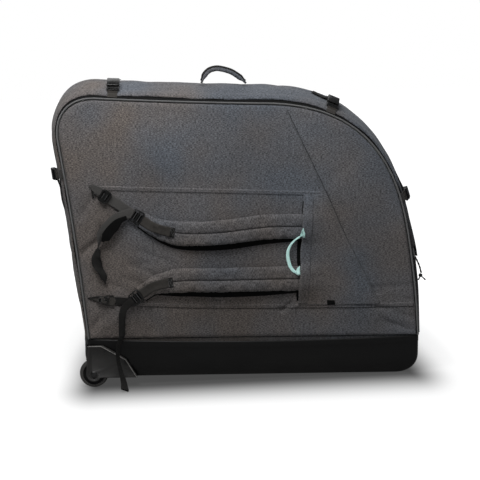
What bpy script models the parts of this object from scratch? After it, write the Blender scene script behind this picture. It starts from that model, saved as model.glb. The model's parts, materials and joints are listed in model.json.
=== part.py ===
"""Soft-sided wheeled travel case for a bicycle, with a backpack harness on its front.

Metres, +Z up.  The origin is the centre of the base's flat underside, X runs along the case with
the wheels at -X, and -Y is the front, which unzips round three sides and folds down.
"""

import math

import bmesh
import bpy
from mathutils import Matrix, Vector, geometry

# Outline of the case, seen from the front
BASE_LENGTH = 0.876
BASE_HEIGHT = 0.105
SEAM_HEIGHT = 0.733
TOP_FALL = 0.013
SHOULDER_HEIGHT = 0.620
LEAN_LEFT = 0.069
LEAN_RIGHT = 0.036
CORNER_RUN = 0.097
NOSE_RUN = 0.408
NOSE_HEIGHT = 0.400
LEFT_BOW = -0.0045
RIGHT_BOW = 0.005
TOP_SAG = -0.002
CORNER_EASE = 0.070
NOSE_EASE_TOP = 0.225
NOSE_EASE_SIDE = 0.205
SEAM_STEPS = {"left": 4, "corner": 6, "top": 5, "nose": 11, "right": 4}

# Depth and crown
CASE_DEPTH = 0.230
PANEL_BULGE = 0.025
CROWN_TOP = 0.050
CROWN_SIDE = 0.026
CROWN_FOOT = 0.016
CROWN_RISE = 0.150
PANEL_SKIN = 0.003
PANEL_FOAM = 0.010
FOAM_INSET = 0.016
FOAM_GAP = 0.0008
GUSSET_SKIN = 0.003
GUSSET_FOAM = 0.008
LINING_INSET = 0.010
LINING_GAP = 0.0013
PIPING_RADIUS = 0.0025
ZIP_TAPE_WIDTH = 0.011
ZIP_TAPE_THICKNESS = 0.002
ZIP_GAP = 0.002
FIT = 0.0003

# Base
TUB_WALL = 0.003
TUB_END_RADIUS = 0.050
TUB_LONG_RADIUS = 0.018
BOARD_THICKNESS = 0.004
BOARD_MARGIN = 0.010
HINGE_TAPE_HEIGHT = 0.020
HINGE_TAPE_THICKNESS = 0.0015

# Wheels and their housings
WHEEL_RADIUS = 0.038
WHEEL_WIDTH = 0.024
WHEEL_INSET = 0.013
WHEEL_HEIGHT = 0.012
WHEEL_TRACK = 0.212
TYRE_DEPTH = 0.016
TYRE_SHOULDER = 0.005
TYRE_CHAMFER = 0.001
AXLE_RADIUS = 0.0040
AXLE_HEAD_RADIUS = 0.0075
AXLE_HEAD_HEIGHT = 0.003
AXLE_HEAD_CHAMFER = 0.001
HUB_BOSS_RADIUS = 0.008
BEARING_SEAT_RADIUS = 0.0125
HUB_RECESS = 0.003
HUB_RIM = 0.005
HUB_RIM_SET = 0.0015
HUB_RIM_SLOPE = 0.001
RUN_CLEARANCE = 0.0003
CHEEK = 0.005
WELL_CLEARANCE = 0.002
WELL_GAP = 0.0045
HOUSING_LENGTH = 0.130
HOUSING_TOP = 0.088
HOUSING_SHELF = 0.040
HOUSING_CORNER = 0.010
HOUSING_KNEE = (0.026, 0.015)
HOUSING_HIP = (0.029, 0.037)
HOUSING_PROUD = 0.003
HOUSING_LOBE = 0.020
HOUSING_LIFT = 0.002
HOUSING_FIT = 0.0005

# Compression straps over the gusset, placed by their distance along the seam
STRAP_FROM_LEFT_FOOT = (0.438, 0.738)
STRAP_FROM_RIGHT_FOOT = (0.671, 0.371)
STRAP_WIDTH = 0.025
STRAP_THICKNESS = 0.0016
STRAP_LIFT = 0.0018
WEBBING_GAP = 0.0009
REAR_STEPS = 10
REAR_LIFT = 0.0019
BUCKLE_SETBACK = 0.065
BUCKLE_SETBACK_TOP = 0.034
BUCKLE_SETBACK_RIGHT = 0.046
BUCKLE_WIDTH = 0.032
BUCKLE_THICKNESS = 0.012
BUCKLE_WALL = 0.0026
BUCKLE_SEAT = 0.0016
SOCKET_LENGTH = 0.034
SOCKET_POCKET = 0.027
TONGUE_LENGTH = 0.018
TONGUE_THICKNESS = 0.0045
PRONG_LENGTH = 0.024
PRONG_WIDTH = 0.005
GUIDE_WIDTH = 0.006
PRONG_CLEARANCE = 0.0008
SLOT_LENGTH = 0.004
TONGUE_CORNER = 0.003
PRONG_BARB = 0.007
PRONG_STEP = 0.0012
PRONG_TIP = 0.002

# Top handle
HANDLE_CENTRE = -0.077
HANDLE_SETBACK = 0.087
HANDLE_WIDTH = 0.026
HANDLE_GRIP_THICKNESS = 0.011
HANDLE_END_THICKNESS = 0.004
HANDLE_GRIP_TAPER = 0.020
HANDLE_SEAT = 0.0005
HANDLE_TIP = 0.0004
HANDLE_STEPS = 28
HANDLE_ARCH = (
    (-0.060, 0.000),
    (-0.053, 0.0125),
    (-0.036, 0.0225),
    (-0.014, 0.0250),
    (0.016, 0.0205),
    (0.042, 0.0105),
    (0.057, 0.0030),
    (0.060, 0.000),
)

# Zip slider, its pull and the cord on it
SLIDER_FROM_RIGHT_FOOT = 0.236
SLIDER_TRAVEL = 0.060
SLIDER_LENGTH = 0.014
SLIDER_WIDTH = 0.010
SLIDER_PLATE = 0.002
SLIDER_WEB = 0.0010
SLIDER_CLEARANCE = 0.0005
PULL_LENGTH = 0.024
PULL_WIDTH = 0.007
PULL_THICKNESS = 0.0018
PULL_HOLE = 0.0022
PULL_HEEL = 0.001
ZIP_CORD_RADIUS = 0.0022
ZIP_CORD_ROUTE = (
    (0.0000, 0.0000, 0.0000),
    (0.0022, -0.0005, -0.0055),
    (0.0052, -0.0010, -0.0115),
    (0.0082, -0.0012, -0.0180),
    (0.0110, -0.0010, -0.0248),
    (0.0134, -0.0005, -0.0316),
    (0.0153, 0.0000, -0.0384),
    (0.0168, 0.0002, -0.0445),
)
KNOT_RADIUS = 0.0050

# Backpack harness on the front panel: (x, z) on the panel, and the lift off it of a loose tail
POCKET_EDGE = 0.1185
POCKET_TOP = 0.486
POCKET_FOOT = 0.193
POCKET_TOP_LENGTH = 0.062
POCKET_FOOT_LENGTH = 0.208
POCKET_THICKNESS = 0.0025
POCKET_GAP = 0.0010
PAD_WIDTH = 0.064
PAD_THICKNESS = 0.014
PAD_CHANNEL = 0.0035
PAD_LIFT = 0.0008
PAD_ARCH = 0.009
PAD_TAPER = 0.26
PAD_END_SHARE = 0.55
PAD_END_RUN = 0.06
PAD_END_WIDTH = 0.040
PAD_STEPS = 26
UPPER_PAD = (
    (POCKET_EDGE - FIT, 0.403),
    (0.020, 0.402),
    (-0.090, 0.390),
    (-0.190, 0.388),
    (-0.257, 0.402),
    (-0.2935, 0.4225),
)
LOWER_PAD = (
    (POCKET_EDGE - FIT, 0.266),
    (0.020, 0.266),
    (-0.090, 0.265),
    (-0.190, 0.264),
    (-0.260, 0.252),
    (-0.298, 0.228),
)
LOCK_LENGTH = 0.034
LOCK_WIDTH = 0.038
LOCK_THICKNESS = 0.005
LOCK_BAR = 0.004
LOCK_TAPER = 0.006
LOCK_SEAT = 0.0044
HOOK_LENGTH = 0.026
HOOK_WIDTH = 0.034
HOOK_THICKNESS = 0.006
HOOK_BAR = 0.004
HOOK_SLOT = 0.003
UPPER_HOOK = (-0.388, 0.484)
LOWER_HOOK = (-0.396, 0.213)
UPPER_ANCHOR = (-0.452, 0.512)
LOWER_ANCHOR = (-0.439, 0.214)
UPPER_TAIL = (
    (-0.352, 0.424, 0.012),
    (-0.376, 0.410, 0.014),
    (-0.394, 0.388, 0.014),
    (-0.403, 0.362, 0.012),
    (-0.406, 0.336, 0.010),
    (-0.411, 0.312, 0.009),
    (-0.403, 0.288, 0.009),
    (-0.392, 0.265, 0.009),
)
LOWER_TAIL = (
    (-0.343, 0.190, 0.012),
    (-0.348, 0.170, 0.012),
    (-0.349, 0.145, 0.012),
    (-0.350, 0.118, 0.018),
    (-0.358, 0.090, 0.024),
    (-0.361, 0.062, 0.024),
    (-0.356, 0.030, 0.024),
    (-0.348, 0.002, 0.030),
    (-0.3440, -0.0125, 0.044),
    (-0.3420, -0.0185, 0.066),
)
HAUL_RADIUS = 0.0040
HAUL_TOP = (0.1275, 0.382)
HAUL_FOOT = (0.1245, 0.297)
HAUL_REACH = 0.046

# Straps that hold the bicycle inside
INNER_STRAPS = (-0.170, 0.110)
INNER_STRAP_FOOT = 0.190
INNER_STRAP_TOP = 0.590
INNER_STRAP_GAP = 0.0010
CAM_HEIGHT = 0.400
CAM_SIZE = (0.034, 0.009, 0.030)

HALF_DEPTH = CASE_DEPTH / 2
FRONT = -HALF_DEPTH
PANEL_CENTRE = Vector((-0.030, 0.405))
HEART = Vector((0.0, 0.0, (BASE_HEIGHT + SEAM_HEIGHT) / 2))
PANEL_RINGS = (1.0, 0.96, 0.90, 0.82, 0.70, 0.50)
CROWN_POWER = 4
FOOT_STEPS = 10


def new_collection(name):
    collection = bpy.data.collections.new(name)
    bpy.context.scene.collection.children.link(collection)
    return collection


def paint(name, colour, roughness, metallic=0.0):
    material = bpy.data.materials.new(name)
    material.use_nodes = True
    shader = material.node_tree.nodes["Principled BSDF"]
    shader.inputs["Base Color"].default_value = (*colour, 1.0)
    shader.inputs["Roughness"].default_value = roughness
    shader.inputs["Metallic"].default_value = metallic
    return material


# Adding an object to the scene


def add(name, data, material=None, smooth=True):
    """An object in the case's collection."""
    obj = bpy.data.objects.new(name, data)
    PARTS.objects.link(obj)
    if material:
        data.materials.append(material)
    if smooth and obj.type == "MESH":
        data.shade_smooth()
        data.set_sharp_from_angle(angle=math.radians(35))
    return obj


def from_bmesh(name, bm, material=None, smooth=True):
    mesh = bpy.data.meshes.new(name)
    bm.to_mesh(mesh)
    bm.free()
    return add(name, mesh, material, smooth)


def empty(name, place, parent=None):
    """An axis to hang moving pieces on; place is a point or a matrix."""
    obj = bpy.data.objects.new(name, None)
    PARTS.objects.link(obj)
    obj.empty_display_size = 0.03
    obj.matrix_world = place if isinstance(place, Matrix) else Matrix.Translation(place)
    if parent:
        hang(obj, parent)
    return obj


def hang(obj, parent):
    """Parents without moving: parents here are never scaled."""
    matrix = obj.matrix_world.copy() if obj.type == "EMPTY" else obj.matrix_basis.copy()
    obj.parent = parent
    obj.matrix_parent_inverse = Matrix()
    obj.matrix_basis = parent_matrix(parent).inverted() @ matrix


def parent_matrix(obj):
    """World matrix worked out from the chain of parents, without waiting for a scene update."""
    if obj.parent:
        return parent_matrix(obj.parent) @ obj.matrix_basis
    return obj.matrix_basis


# Shapes


def box(name, size, centre, material=None):
    bm = bmesh.new()
    bmesh.ops.create_cube(bm, size=1.0, matrix=Matrix.Translation(centre) @ Matrix.Diagonal((*size, 1.0)))
    return from_bmesh(name, bm, material, smooth=False)


def bevel(obj, width, segments=2, angle=math.radians(40)):
    modifier = obj.modifiers.new("rounded edges", "BEVEL")
    modifier.width = width
    modifier.segments = segments
    modifier.limit_method = "ANGLE"
    modifier.angle_limit = angle
    return obj


def as_cutter(obj):
    for collection in list(obj.users_collection):
        collection.objects.unlink(obj)
    CUTTERS.objects.link(obj)
    obj.hide_render = True
    obj.display_type = "WIRE"
    return obj


def cut(obj, cutter):
    modifier = obj.modifiers.new("cut by " + cutter.name, "BOOLEAN")
    modifier.operation = "DIFFERENCE"
    modifier.solver = "EXACT"
    modifier.object = cutter


def skin(name, sections, material):
    """A closed solid through loops of points, each joined to the next, with flat ends."""
    bm = bmesh.new()
    loops = [[bm.verts.new(point) for point in section] for section in sections]
    for near, far in zip(loops, loops[1:]):
        for i in range(len(near)):
            j = (i + 1) % len(near)
            bm.faces.new((near[i], near[j], far[j], far[i]))
    bm.faces.new(reversed(loops[0]))
    bm.faces.new(loops[-1])
    bmesh.ops.recalc_face_normals(bm, faces=bm.faces)
    return from_bmesh(name, bm, material)


def sheet(name, rows, thickness, inside, material, ring=False, capped=False):
    """An open surface through rows of points, given its thickness towards the point inside."""
    bm = bmesh.new()
    lines = [[bm.verts.new(point) for point in row] for row in rows]
    count = len(lines[0])
    for near, far in zip(lines, lines[1:]):
        for i in range(count if ring else count - 1):
            j = (i + 1) % count
            bm.faces.new((near[i], near[j], far[j], far[i]))
    if capped:
        bm.faces.new(lines[-1])
    bmesh.ops.recalc_face_normals(bm, faces=bm.faces)
    bm.faces.ensure_lookup_table()
    sample = bm.faces[len(bm.faces) // 2]
    if sample.normal.dot(inside - sample.calc_center_median()) > 0:
        bmesh.ops.reverse_faces(bm, faces=bm.faces)
    obj = from_bmesh(name, bm, material)
    solidify = obj.modifiers.new("thickness", "SOLIDIFY")
    solidify.thickness = thickness
    solidify.offset = -1
    solidify.use_even_offset = True
    return obj


def ribbon(name, path, across, width, thickness, material):
    """Flat webbing along a path of points; across holds its width direction at each point."""
    sections = []
    for i, point in enumerate(path):
        along = (path[min(i + 1, len(path) - 1)] - path[max(i - 1, 0)]).normalized()
        side = across[i] if isinstance(across, list) else across
        side = (side - along * side.dot(along)).normalized()
        up = along.cross(side).normalized()
        half, rise = side * width / 2, up * thickness / 2
        sections.append([point - half - rise, point + half - rise, point + half + rise, point - half + rise])
    return skin(name, sections, material)


def tube(name, points, radius, material, resolution=1, cyclic=False):
    curve = bpy.data.curves.new(name, "CURVE")
    curve.dimensions = "3D"
    curve.bevel_depth = radius
    curve.bevel_resolution = resolution
    curve.use_fill_caps = True
    spline = curve.splines.new("POLY")
    spline.points.add(len(points) - 1)
    for target, point in zip(spline.points, points):
        target.co = (*point, 1.0)
    spline.use_smooth = True
    spline.use_cyclic_u = cyclic
    return add(name, curve, material)


def plate(name, outlines, thickness, material=None):
    """A flat plate in its own XY plane; every outline after the first is a hole in it."""
    curve = bpy.data.curves.new(name, "CURVE")
    curve.dimensions = "2D"
    curve.fill_mode = "BOTH"
    curve.extrude = thickness / 2
    for outline in outlines:
        spline = curve.splines.new("POLY")
        spline.points.add(len(outline) - 1)
        for target, (x, y) in zip(spline.points, outline):
            target.co = (x, y, 0.0, 1.0)
        spline.use_cyclic_u = True
    return add(name, curve, material)


def made_mesh(obj):
    """The same plate as a mesh, so that it can be cut."""
    bpy.context.view_layer.update()
    graph = bpy.context.evaluated_depsgraph_get()
    mesh = bpy.data.meshes.new_from_object(obj.evaluated_get(graph))
    bm = bmesh.new()
    bm.from_mesh(mesh)
    bmesh.ops.remove_doubles(bm, verts=bm.verts, dist=0.00001)
    bmesh.ops.recalc_face_normals(bm, faces=bm.faces)
    bm.to_mesh(mesh)
    bm.free()
    name, basis = obj.name, obj.matrix_basis.copy()
    bpy.data.objects.remove(obj)
    mesh.name = name
    solid = bpy.data.objects.new(name, mesh)
    PARTS.objects.link(solid)
    solid.matrix_basis = basis
    return solid


def turned(name, profile, steps, material=None):
    """A profile of (radius, height) points turned about local Z; a closed profile starts and ends alike."""
    bm = bmesh.new()
    points = profile[:-1] if profile[0] == profile[-1] else profile
    verts = [bm.verts.new((radius, 0.0, height)) for radius, height in points]
    for a, b in zip(verts, verts[1:]):
        bm.edges.new((a, b))
    if profile[0] == profile[-1]:
        bm.edges.new((verts[-1], verts[0]))
    obj = from_bmesh(name, bm, material, smooth=False)
    screw = obj.modifiers.new("turned", "SCREW")
    screw.steps = steps
    screw.render_steps = steps
    screw.use_merge_vertices = True
    screw.merge_threshold = 0.00005
    screw.use_smooth_shade = True
    return obj


def arc(centre, radius, start, end, steps):
    """Points on an arc in a plane, angles in degrees."""
    angles = (math.radians(start + (end - start) * i / steps) for i in range(steps + 1))
    return [(centre[0] + radius * math.cos(a), centre[1] + radius * math.sin(a)) for a in angles]


def smooth_path(points, steps):
    """Points at even steps along a smooth curve through the given ones."""
    found = []
    for i in range(len(points) - 1):
        a, b = points[i], points[i + 1]
        before = points[i - 1] if i else a - (b - a)
        after = points[i + 2] if i + 2 < len(points) else b + (b - a)
        found += geometry.interpolate_bezier(a, a + (b - before) / 6, b - (after - a) / 6, b, 9)[:-1]
    found.append(points[-1])
    lengths = [0.0]
    for a, b in zip(found, found[1:]):
        lengths.append(lengths[-1] + (b - a).length)
    even, k = [], 0
    for i in range(steps + 1):
        wanted = lengths[-1] * i / steps
        while k < len(lengths) - 2 and lengths[k + 1] < wanted:
            k += 1
        share = (wanted - lengths[k]) / (lengths[k + 1] - lengths[k])
        even.append(found[k].lerp(found[k + 1], share))
    return even


# The seam's outline, and places on the gusset and the panels


def bowed(start, end, bow):
    """Bezier handles of a nearly straight run that bows sideways by the given amount."""
    along = end - start
    side = Vector((-along.y, along.x)).normalized() * bow * 4 / 3
    return start + along / 3 + side, end - along / 3 + side


def seam_line():
    """The front seam from its left foot over the top to its right foot, as (x, z) points."""
    left_foot = Vector((-BASE_LENGTH / 2, BASE_HEIGHT))
    right_foot = Vector((BASE_LENGTH / 2, BASE_HEIGHT))
    shoulder = Vector((left_foot.x - LEAN_LEFT, SHOULDER_HEIGHT))
    top_left = Vector((shoulder.x + CORNER_RUN, SEAM_HEIGHT))
    top_right = Vector((right_foot.x - NOSE_RUN, SEAM_HEIGHT - TOP_FALL))
    nose = Vector((right_foot.x - LEAN_RIGHT, NOSE_HEIGHT))
    left = bowed(left_foot, shoulder, LEFT_BOW)
    top = bowed(top_left, top_right, TOP_SAG)
    right = bowed(nose, right_foot, RIGHT_BOW)
    corner = (
        shoulder + (shoulder - left[1]).normalized() * CORNER_EASE,
        top_left + (top_left - top[0]).normalized() * CORNER_EASE,
    )
    round_nose = (
        top_right + (top_right - top[1]).normalized() * NOSE_EASE_TOP,
        nose + (nose - right[0]).normalized() * NOSE_EASE_SIDE,
    )
    spans = (
        (left_foot, left, shoulder, SEAM_STEPS["left"]),
        (shoulder, corner, top_left, SEAM_STEPS["corner"]),
        (top_left, top, top_right, SEAM_STEPS["top"]),
        (top_right, round_nose, nose, SEAM_STEPS["nose"]),
        (nose, right, right_foot, SEAM_STEPS["right"]),
    )
    points = [left_foot]
    for start, handles, end, steps in spans:
        points += geometry.interpolate_bezier(start, *handles, end, steps + 1)[1:]
    return [Vector(point[:2]) for point in points]


def outward(points):
    """Unit normals of the seam that point away from the case; level at its two feet."""
    normals = []
    for i in range(1, len(points) - 1):
        along = points[i + 1] - points[i - 1]
        normals.append(Vector((-along.y, along.x)).normalized())
    return [Vector((-1.0, 0.0)), *normals, Vector((1.0, 0.0))]


def distances(points):
    found = [0.0]
    for a, b in zip(points, points[1:]):
        found.append(found[-1] + (b - a).length)
    return found


def crown_at(point, normal):
    """How far the gusset's middle stands out of the seam's outline."""
    rise = min(max((point.y - BASE_HEIGHT) / CROWN_RISE, 0.0), 1.0)
    side = CROWN_FOOT + (CROWN_SIDE - CROWN_FOOT) * rise * rise * (3 - 2 * rise)
    return side + (CROWN_TOP - CROWN_SIDE) * max(normal.y, 0.0) ** 3


def seam_at(distance):
    """(point, normal) on the seam, at a distance along it from the left foot."""
    i = 0
    while i < len(SEAM) - 2 and SEAM_DISTANCE[i + 1] < distance:
        i += 1
    share = (distance - SEAM_DISTANCE[i]) / (SEAM_DISTANCE[i + 1] - SEAM_DISTANCE[i])
    return SEAM[i].lerp(SEAM[i + 1], share), SEAM_NORMAL[i].lerp(SEAM_NORMAL[i + 1], share).normalized()


def over_gusset(point, normal, y, lift=0.0):
    """A place on the gusset, across from a point of the seam at depth y, lifted square off its slope."""
    crown = crown_at(point, normal)
    slope = 2 * crown * y / HALF_DEPTH**2
    out = point + normal * (crown * (1 - (y / HALF_DEPTH) ** 2) + lift * math.sqrt(1 + slope**2))
    return Vector((out.x, y, out.y))


def gusset_top(x, y):
    """Height of the gusset over a place on the top of the case."""
    ridge = [over_gusset(p, n, y) for p, n in zip(SEAM, SEAM_NORMAL)]
    for a, b in zip(ridge, ridge[1:]):
        if a.x <= x <= b.x and min(a.z, b.z) > SHOULDER_HEIGHT:
            return a.lerp(b, (x - a.x) / (b.x - a.x)).z
    return SEAM_HEIGHT + CROWN_TOP


def gusset_rows(start, end, steps, lift=0.0):
    """Rows along the seam at even depths from start to end."""
    depths = [start + (end - start) * i / steps for i in range(steps + 1)]
    rows = [[over_gusset(p, n, y, lift) for p, n in zip(SEAM, SEAM_NORMAL)] for y in depths]
    for row in rows:
        for foot in (row[0], row[-1]):
            foot.z = BASE_HEIGHT + 2 * FIT
    return rows


def end_crown(y):
    """How far the base's ends stand out, as the gusset does where it meets them."""
    return CROWN_FOOT * (1 - (y / HALF_DEPTH) ** 2)


def panel_loop(inset, lift=0.0):
    """The seam's outline moved inwards, and closed along the top of the base or a little above it."""
    foot = BASE_HEIGHT + FIT + lift
    loop = [p - n * inset for p, n in zip(SEAM, SEAM_NORMAL)]
    loop = [Vector((p.x, max(p.y, foot))) for p in loop]
    left, right = loop[0], loop[-1]
    left.y = right.y = foot
    return loop + [right.lerp(left, i / FOOT_STEPS) for i in range(1, FOOT_STEPS)]


def swell(x, z):
    """Share of a panel's bulge at a point: 0 on its edge, nearly 1 over its flat middle."""
    ray = Vector((x, z)) - PANEL_CENTRE
    if ray.length < 0.001:
        return 1 - PANEL_RINGS[-1] ** CROWN_POWER
    far = PANEL_CENTRE + ray.normalized() * BASE_LENGTH * 2
    for a, b in zip(PANEL_EDGE, PANEL_EDGE[1:] + PANEL_EDGE[:1]):
        hit = geometry.intersect_line_line_2d(PANEL_CENTRE, far, a, b)
        if hit:
            share = min(ray.length / (hit - PANEL_CENTRE).length, 1.0)
            return 1 - max(share, PANEL_RINGS[-1]) ** CROWN_POWER
    return 0.0


def on_front(x, z, lift=0.0):
    """A place on the front panel's outer face, lifted off it."""
    return Vector((x, FRONT - PANEL_BULGE * swell(x, z) - lift, z))


# Fabric shells and what lines them


def panel(name, side, material):
    """Front (side -1) or back (side 1) panel: a crowned, padded skin inside the piping."""
    loop = panel_loop(PIPING_RADIUS + FIT)
    rows = []
    for ring in PANEL_RINGS:
        points = [PANEL_CENTRE + (p - PANEL_CENTRE) * ring for p in loop]
        depth = HALF_DEPTH + PANEL_BULGE * (1 - ring**CROWN_POWER)
        rows.append([Vector((p.x, side * depth, p.y)) for p in points])
    return sheet(name, rows, PANEL_SKIN, HEART, material, ring=True, capped=True)


def panel_foam(name, side, material):
    """The foam sheet behind a panel, following its crown."""
    rows = []
    loop = panel_loop(PIPING_RADIUS + FOAM_INSET, FOAM_INSET)
    for ring in PANEL_RINGS:
        row = []
        for p in loop:
            x, z = PANEL_CENTRE + (p - PANEL_CENTRE) * ring
            depth = HALF_DEPTH + PANEL_BULGE * swell(x, z) - PANEL_SKIN - FOAM_GAP
            row.append(Vector((x, side * depth, z)))
        rows.append(row)
    return sheet(name, rows, PANEL_FOAM, HEART, material, ring=True, capped=True)


def piping(name, side, material):
    """The corded edge along a panel's seam."""
    points = [Vector((p.x, side * HALF_DEPTH, p.y)) for p in SEAM]
    for foot in (points[0], points[-1]):
        foot.z += FIT
    return tube(name, points, PIPING_RADIUS, material)


def zip_band():
    """Depths where the lid's tape, the case's tape and the gusset begin and end."""
    lid_start = FRONT + PIPING_RADIUS + FIT
    lid_end = lid_start + ZIP_TAPE_WIDTH
    case_start = lid_end + ZIP_GAP
    return lid_start, lid_end, case_start, case_start + ZIP_TAPE_WIDTH


def base_rings():
    """Rings of the base's outer face, from its open top down and round to the underside."""
    steps = 5
    levels = [(BASE_HEIGHT, 0.0, 0.0)]
    for i in range(steps + 1):
        angle = math.pi / 2 * i / steps
        fall = TUB_END_RADIUS * (1 - math.sin(angle))
        levels.append((fall, TUB_END_RADIUS * (1 - math.cos(angle)), TUB_LONG_RADIUS * (1 - math.cos(angle))))
    return [base_ring(*level) for level in levels]


def base_ring(z, end_inset, long_inset):
    """One level outline of the base: straight along the sides, crowned at both ends."""
    half = HALF_DEPTH - long_inset
    length = BASE_LENGTH / 2 - end_inset
    ring = []
    for side in (1, -1):
        for i in range(-3, 4):
            y = half * i / 3 * side
            ring.append(Vector((side * (length + end_crown(HALF_DEPTH * i / 3)), y, z)))
        for i in range(1, 6):
            ring.append(Vector((side * length * (1 - i / 3), half * side, z)))
    return ring


def build_base():
    """The open tub, the board on its floor and the tape inside its front edge that the lid hangs on."""
    tub = sheet("base_tub", base_rings(), TUB_WALL, HEART, TARPAULIN, ring=True, capped=True)
    for side in (-1, 1):
        cut(tub, housing_notch(side))
    board_length = BASE_LENGTH - HOUSING_LENGTH - TUB_END_RADIUS - 2 * BOARD_MARGIN
    board_left = -BASE_LENGTH / 2 + HOUSING_LENGTH + BOARD_MARGIN
    board = box(
        "base_board",
        (board_length, CASE_DEPTH - 2 * (TUB_WALL + TUB_LONG_RADIUS), BOARD_THICKNESS),
        (board_left + board_length / 2, 0, TUB_WALL + FIT + BOARD_THICKNESS / 2),
        BOARD,
    )
    bevel(board, 0.0012, 1)
    inner = FRONT + TUB_WALL + FIT + HINGE_TAPE_THICKNESS / 2
    box(
        "hinge_tape",
        (BASE_LENGTH - 2 * HOUSING_LENGTH, HINGE_TAPE_THICKNESS, HINGE_TAPE_HEIGHT),
        (0, inner, BASE_HEIGHT - HINGE_TAPE_HEIGHT / 2 - FIT),
        WEBBING,
    )


# Wheel housings, wheels and axles


def wheel_centre(side):
    x = -BASE_LENGTH / 2 + WHEEL_INSET
    return Vector((x, side * WHEEL_TRACK / 2, WHEEL_HEIGHT))


def housing_width():
    return WHEEL_WIDTH + 2 * (WELL_CLEARANCE + CHEEK)


def housing_top(grow=0.0):
    """The housing's upper edge seen from the front, as (x, z): level, then sloping down to the underside."""
    left = -BASE_LENGTH / 2 - HOUSING_PROUD - grow
    right = left + HOUSING_LENGTH + 2 * grow
    top = HOUSING_TOP + grow
    corner = arc((left + HOUSING_CORNER, top - HOUSING_CORNER), HOUSING_CORNER, 180, 90, 3)
    knee = (left + HOUSING_SHELF + HOUSING_KNEE[0] + grow, top - HOUSING_KNEE[1])
    hip = (right - HOUSING_HIP[0] + grow, top - HOUSING_HIP[1])
    return [*corner, (left + HOUSING_SHELF + grow, top), knee, hip, (right, HOUSING_LIFT)]


def housing_outline():
    """The housing seen from the front: its sloped corner plate, with a lobe round the axle."""
    lobe = arc((wheel_centre(1).x, WHEEL_HEIGHT), HOUSING_LOBE, -50, -180, 8)
    return [*housing_top(), (lobe[0][0] + HOUSING_LIFT * 2, HOUSING_LIFT), *lobe]


def stood_up(obj, y):
    """Turns a plate from its own XY plane to face the front, at depth y."""
    obj.matrix_basis = Matrix.Translation((0, y, 0)) @ Matrix.Rotation(math.pi / 2, 4, "X")
    return obj


def rod(name, radius, length, centre, steps=24, material=None):
    """A plain round bar along Y."""
    bm = bmesh.new()
    turn = Matrix.Translation(centre) @ Matrix.Rotation(math.pi / 2, 4, "X")
    bmesh.ops.create_cone(
        bm, cap_ends=True, segments=steps, radius1=radius, radius2=radius, depth=length, matrix=turn
    )
    return from_bmesh(name, bm, material)


def housing_notch(side):
    """Cuts the corner out of the base where a wheel housing goes."""
    depth = housing_width() * 2
    inner = WHEEL_TRACK / 2 - housing_width() / 2 - HOUSING_FIT
    slope = housing_top(HOUSING_FIT)[-4:]
    beyond, below = -BASE_LENGTH, -HOUSING_TOP
    outline = [(beyond, slope[0][1]), *slope, (slope[-1][0], below), (beyond, below)]
    notch = plate(f"notch_{side_name(side)}", [outline], depth)
    stood_up(notch, side * (inner + depth / 2))
    return as_cutter(made_mesh(notch))


def side_name(side):
    return "front" if side < 0 else "rear"


def build_housing(side):
    """The moulded corner that holds one wheel: a block with a well for the wheel and a hole for its bolt."""
    name = side_name(side)
    centre = wheel_centre(side)
    body = plate(f"wheel_housing_{name}", [housing_outline()], housing_width(), HOUSING)
    body = made_mesh(stood_up(body, centre.y))
    bevel(body, 0.0015, 1)
    gap = WHEEL_WIDTH + 2 * WELL_CLEARANCE
    well = as_cutter(rod(f"wheel_well_{name}", WHEEL_RADIUS + WELL_GAP, gap, centre, 32))
    hole = as_cutter(rod(f"axle_hole_{name}", AXLE_RADIUS + RUN_CLEARANCE, housing_width() * 2, centre, 16))
    cut(body, well)
    cut(body, hole)


def build_wheel(side):
    """Tyre and hub of one wheel, on an axis along Y."""
    name = side_name(side)
    centre = wheel_centre(side)
    axis = empty(f"wheel_axis_{name}", Matrix.Translation(centre) @ Matrix.Rotation(math.pi / 2, 4, "X"))
    half = WHEEL_WIDTH / 2
    seat = WHEEL_RADIUS - TYRE_DEPTH
    tyre_side = [
        (WHEEL_RADIUS, -half + 2 * TYRE_SHOULDER),
        (WHEEL_RADIUS - 0.4 * TYRE_SHOULDER, -half + TYRE_SHOULDER),
        (WHEEL_RADIUS - 1.4 * TYRE_SHOULDER, -half),
        (seat, -half + TYRE_CHAMFER),
    ]
    rim = seat - FIT
    edge = half - HUB_RIM_SET
    web = half - HUB_RECESS
    hub_side = [
        (rim, -edge),
        (rim - HUB_RIM + HUB_RIM_SLOPE, -edge),
        (rim - HUB_RIM, -web),
        (BEARING_SEAT_RADIUS, -web),
        (BEARING_SEAT_RADIUS, -half),
        (HUB_BOSS_RADIUS, -half),
        (HUB_BOSS_RADIUS, -half - WELL_CLEARANCE + RUN_CLEARANCE),
        (AXLE_RADIUS + RUN_CLEARANCE, -half - WELL_CLEARANCE + RUN_CLEARANCE),
    ]
    for obj in (
        turned(f"tyre_{name}", both_sides(tyre_side), 24, TYRE),
        turned(f"wheel_hub_{name}", both_sides(hub_side), 18, HUB),
    ):
        obj.parent = axis


def both_sides(lower):
    """A closed profile from its lower half, outside to inside; it starts at the top of its outer side."""
    upper = [(radius, -height) for radius, height in lower]
    return [upper[0], *lower, *reversed(upper)]


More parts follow.
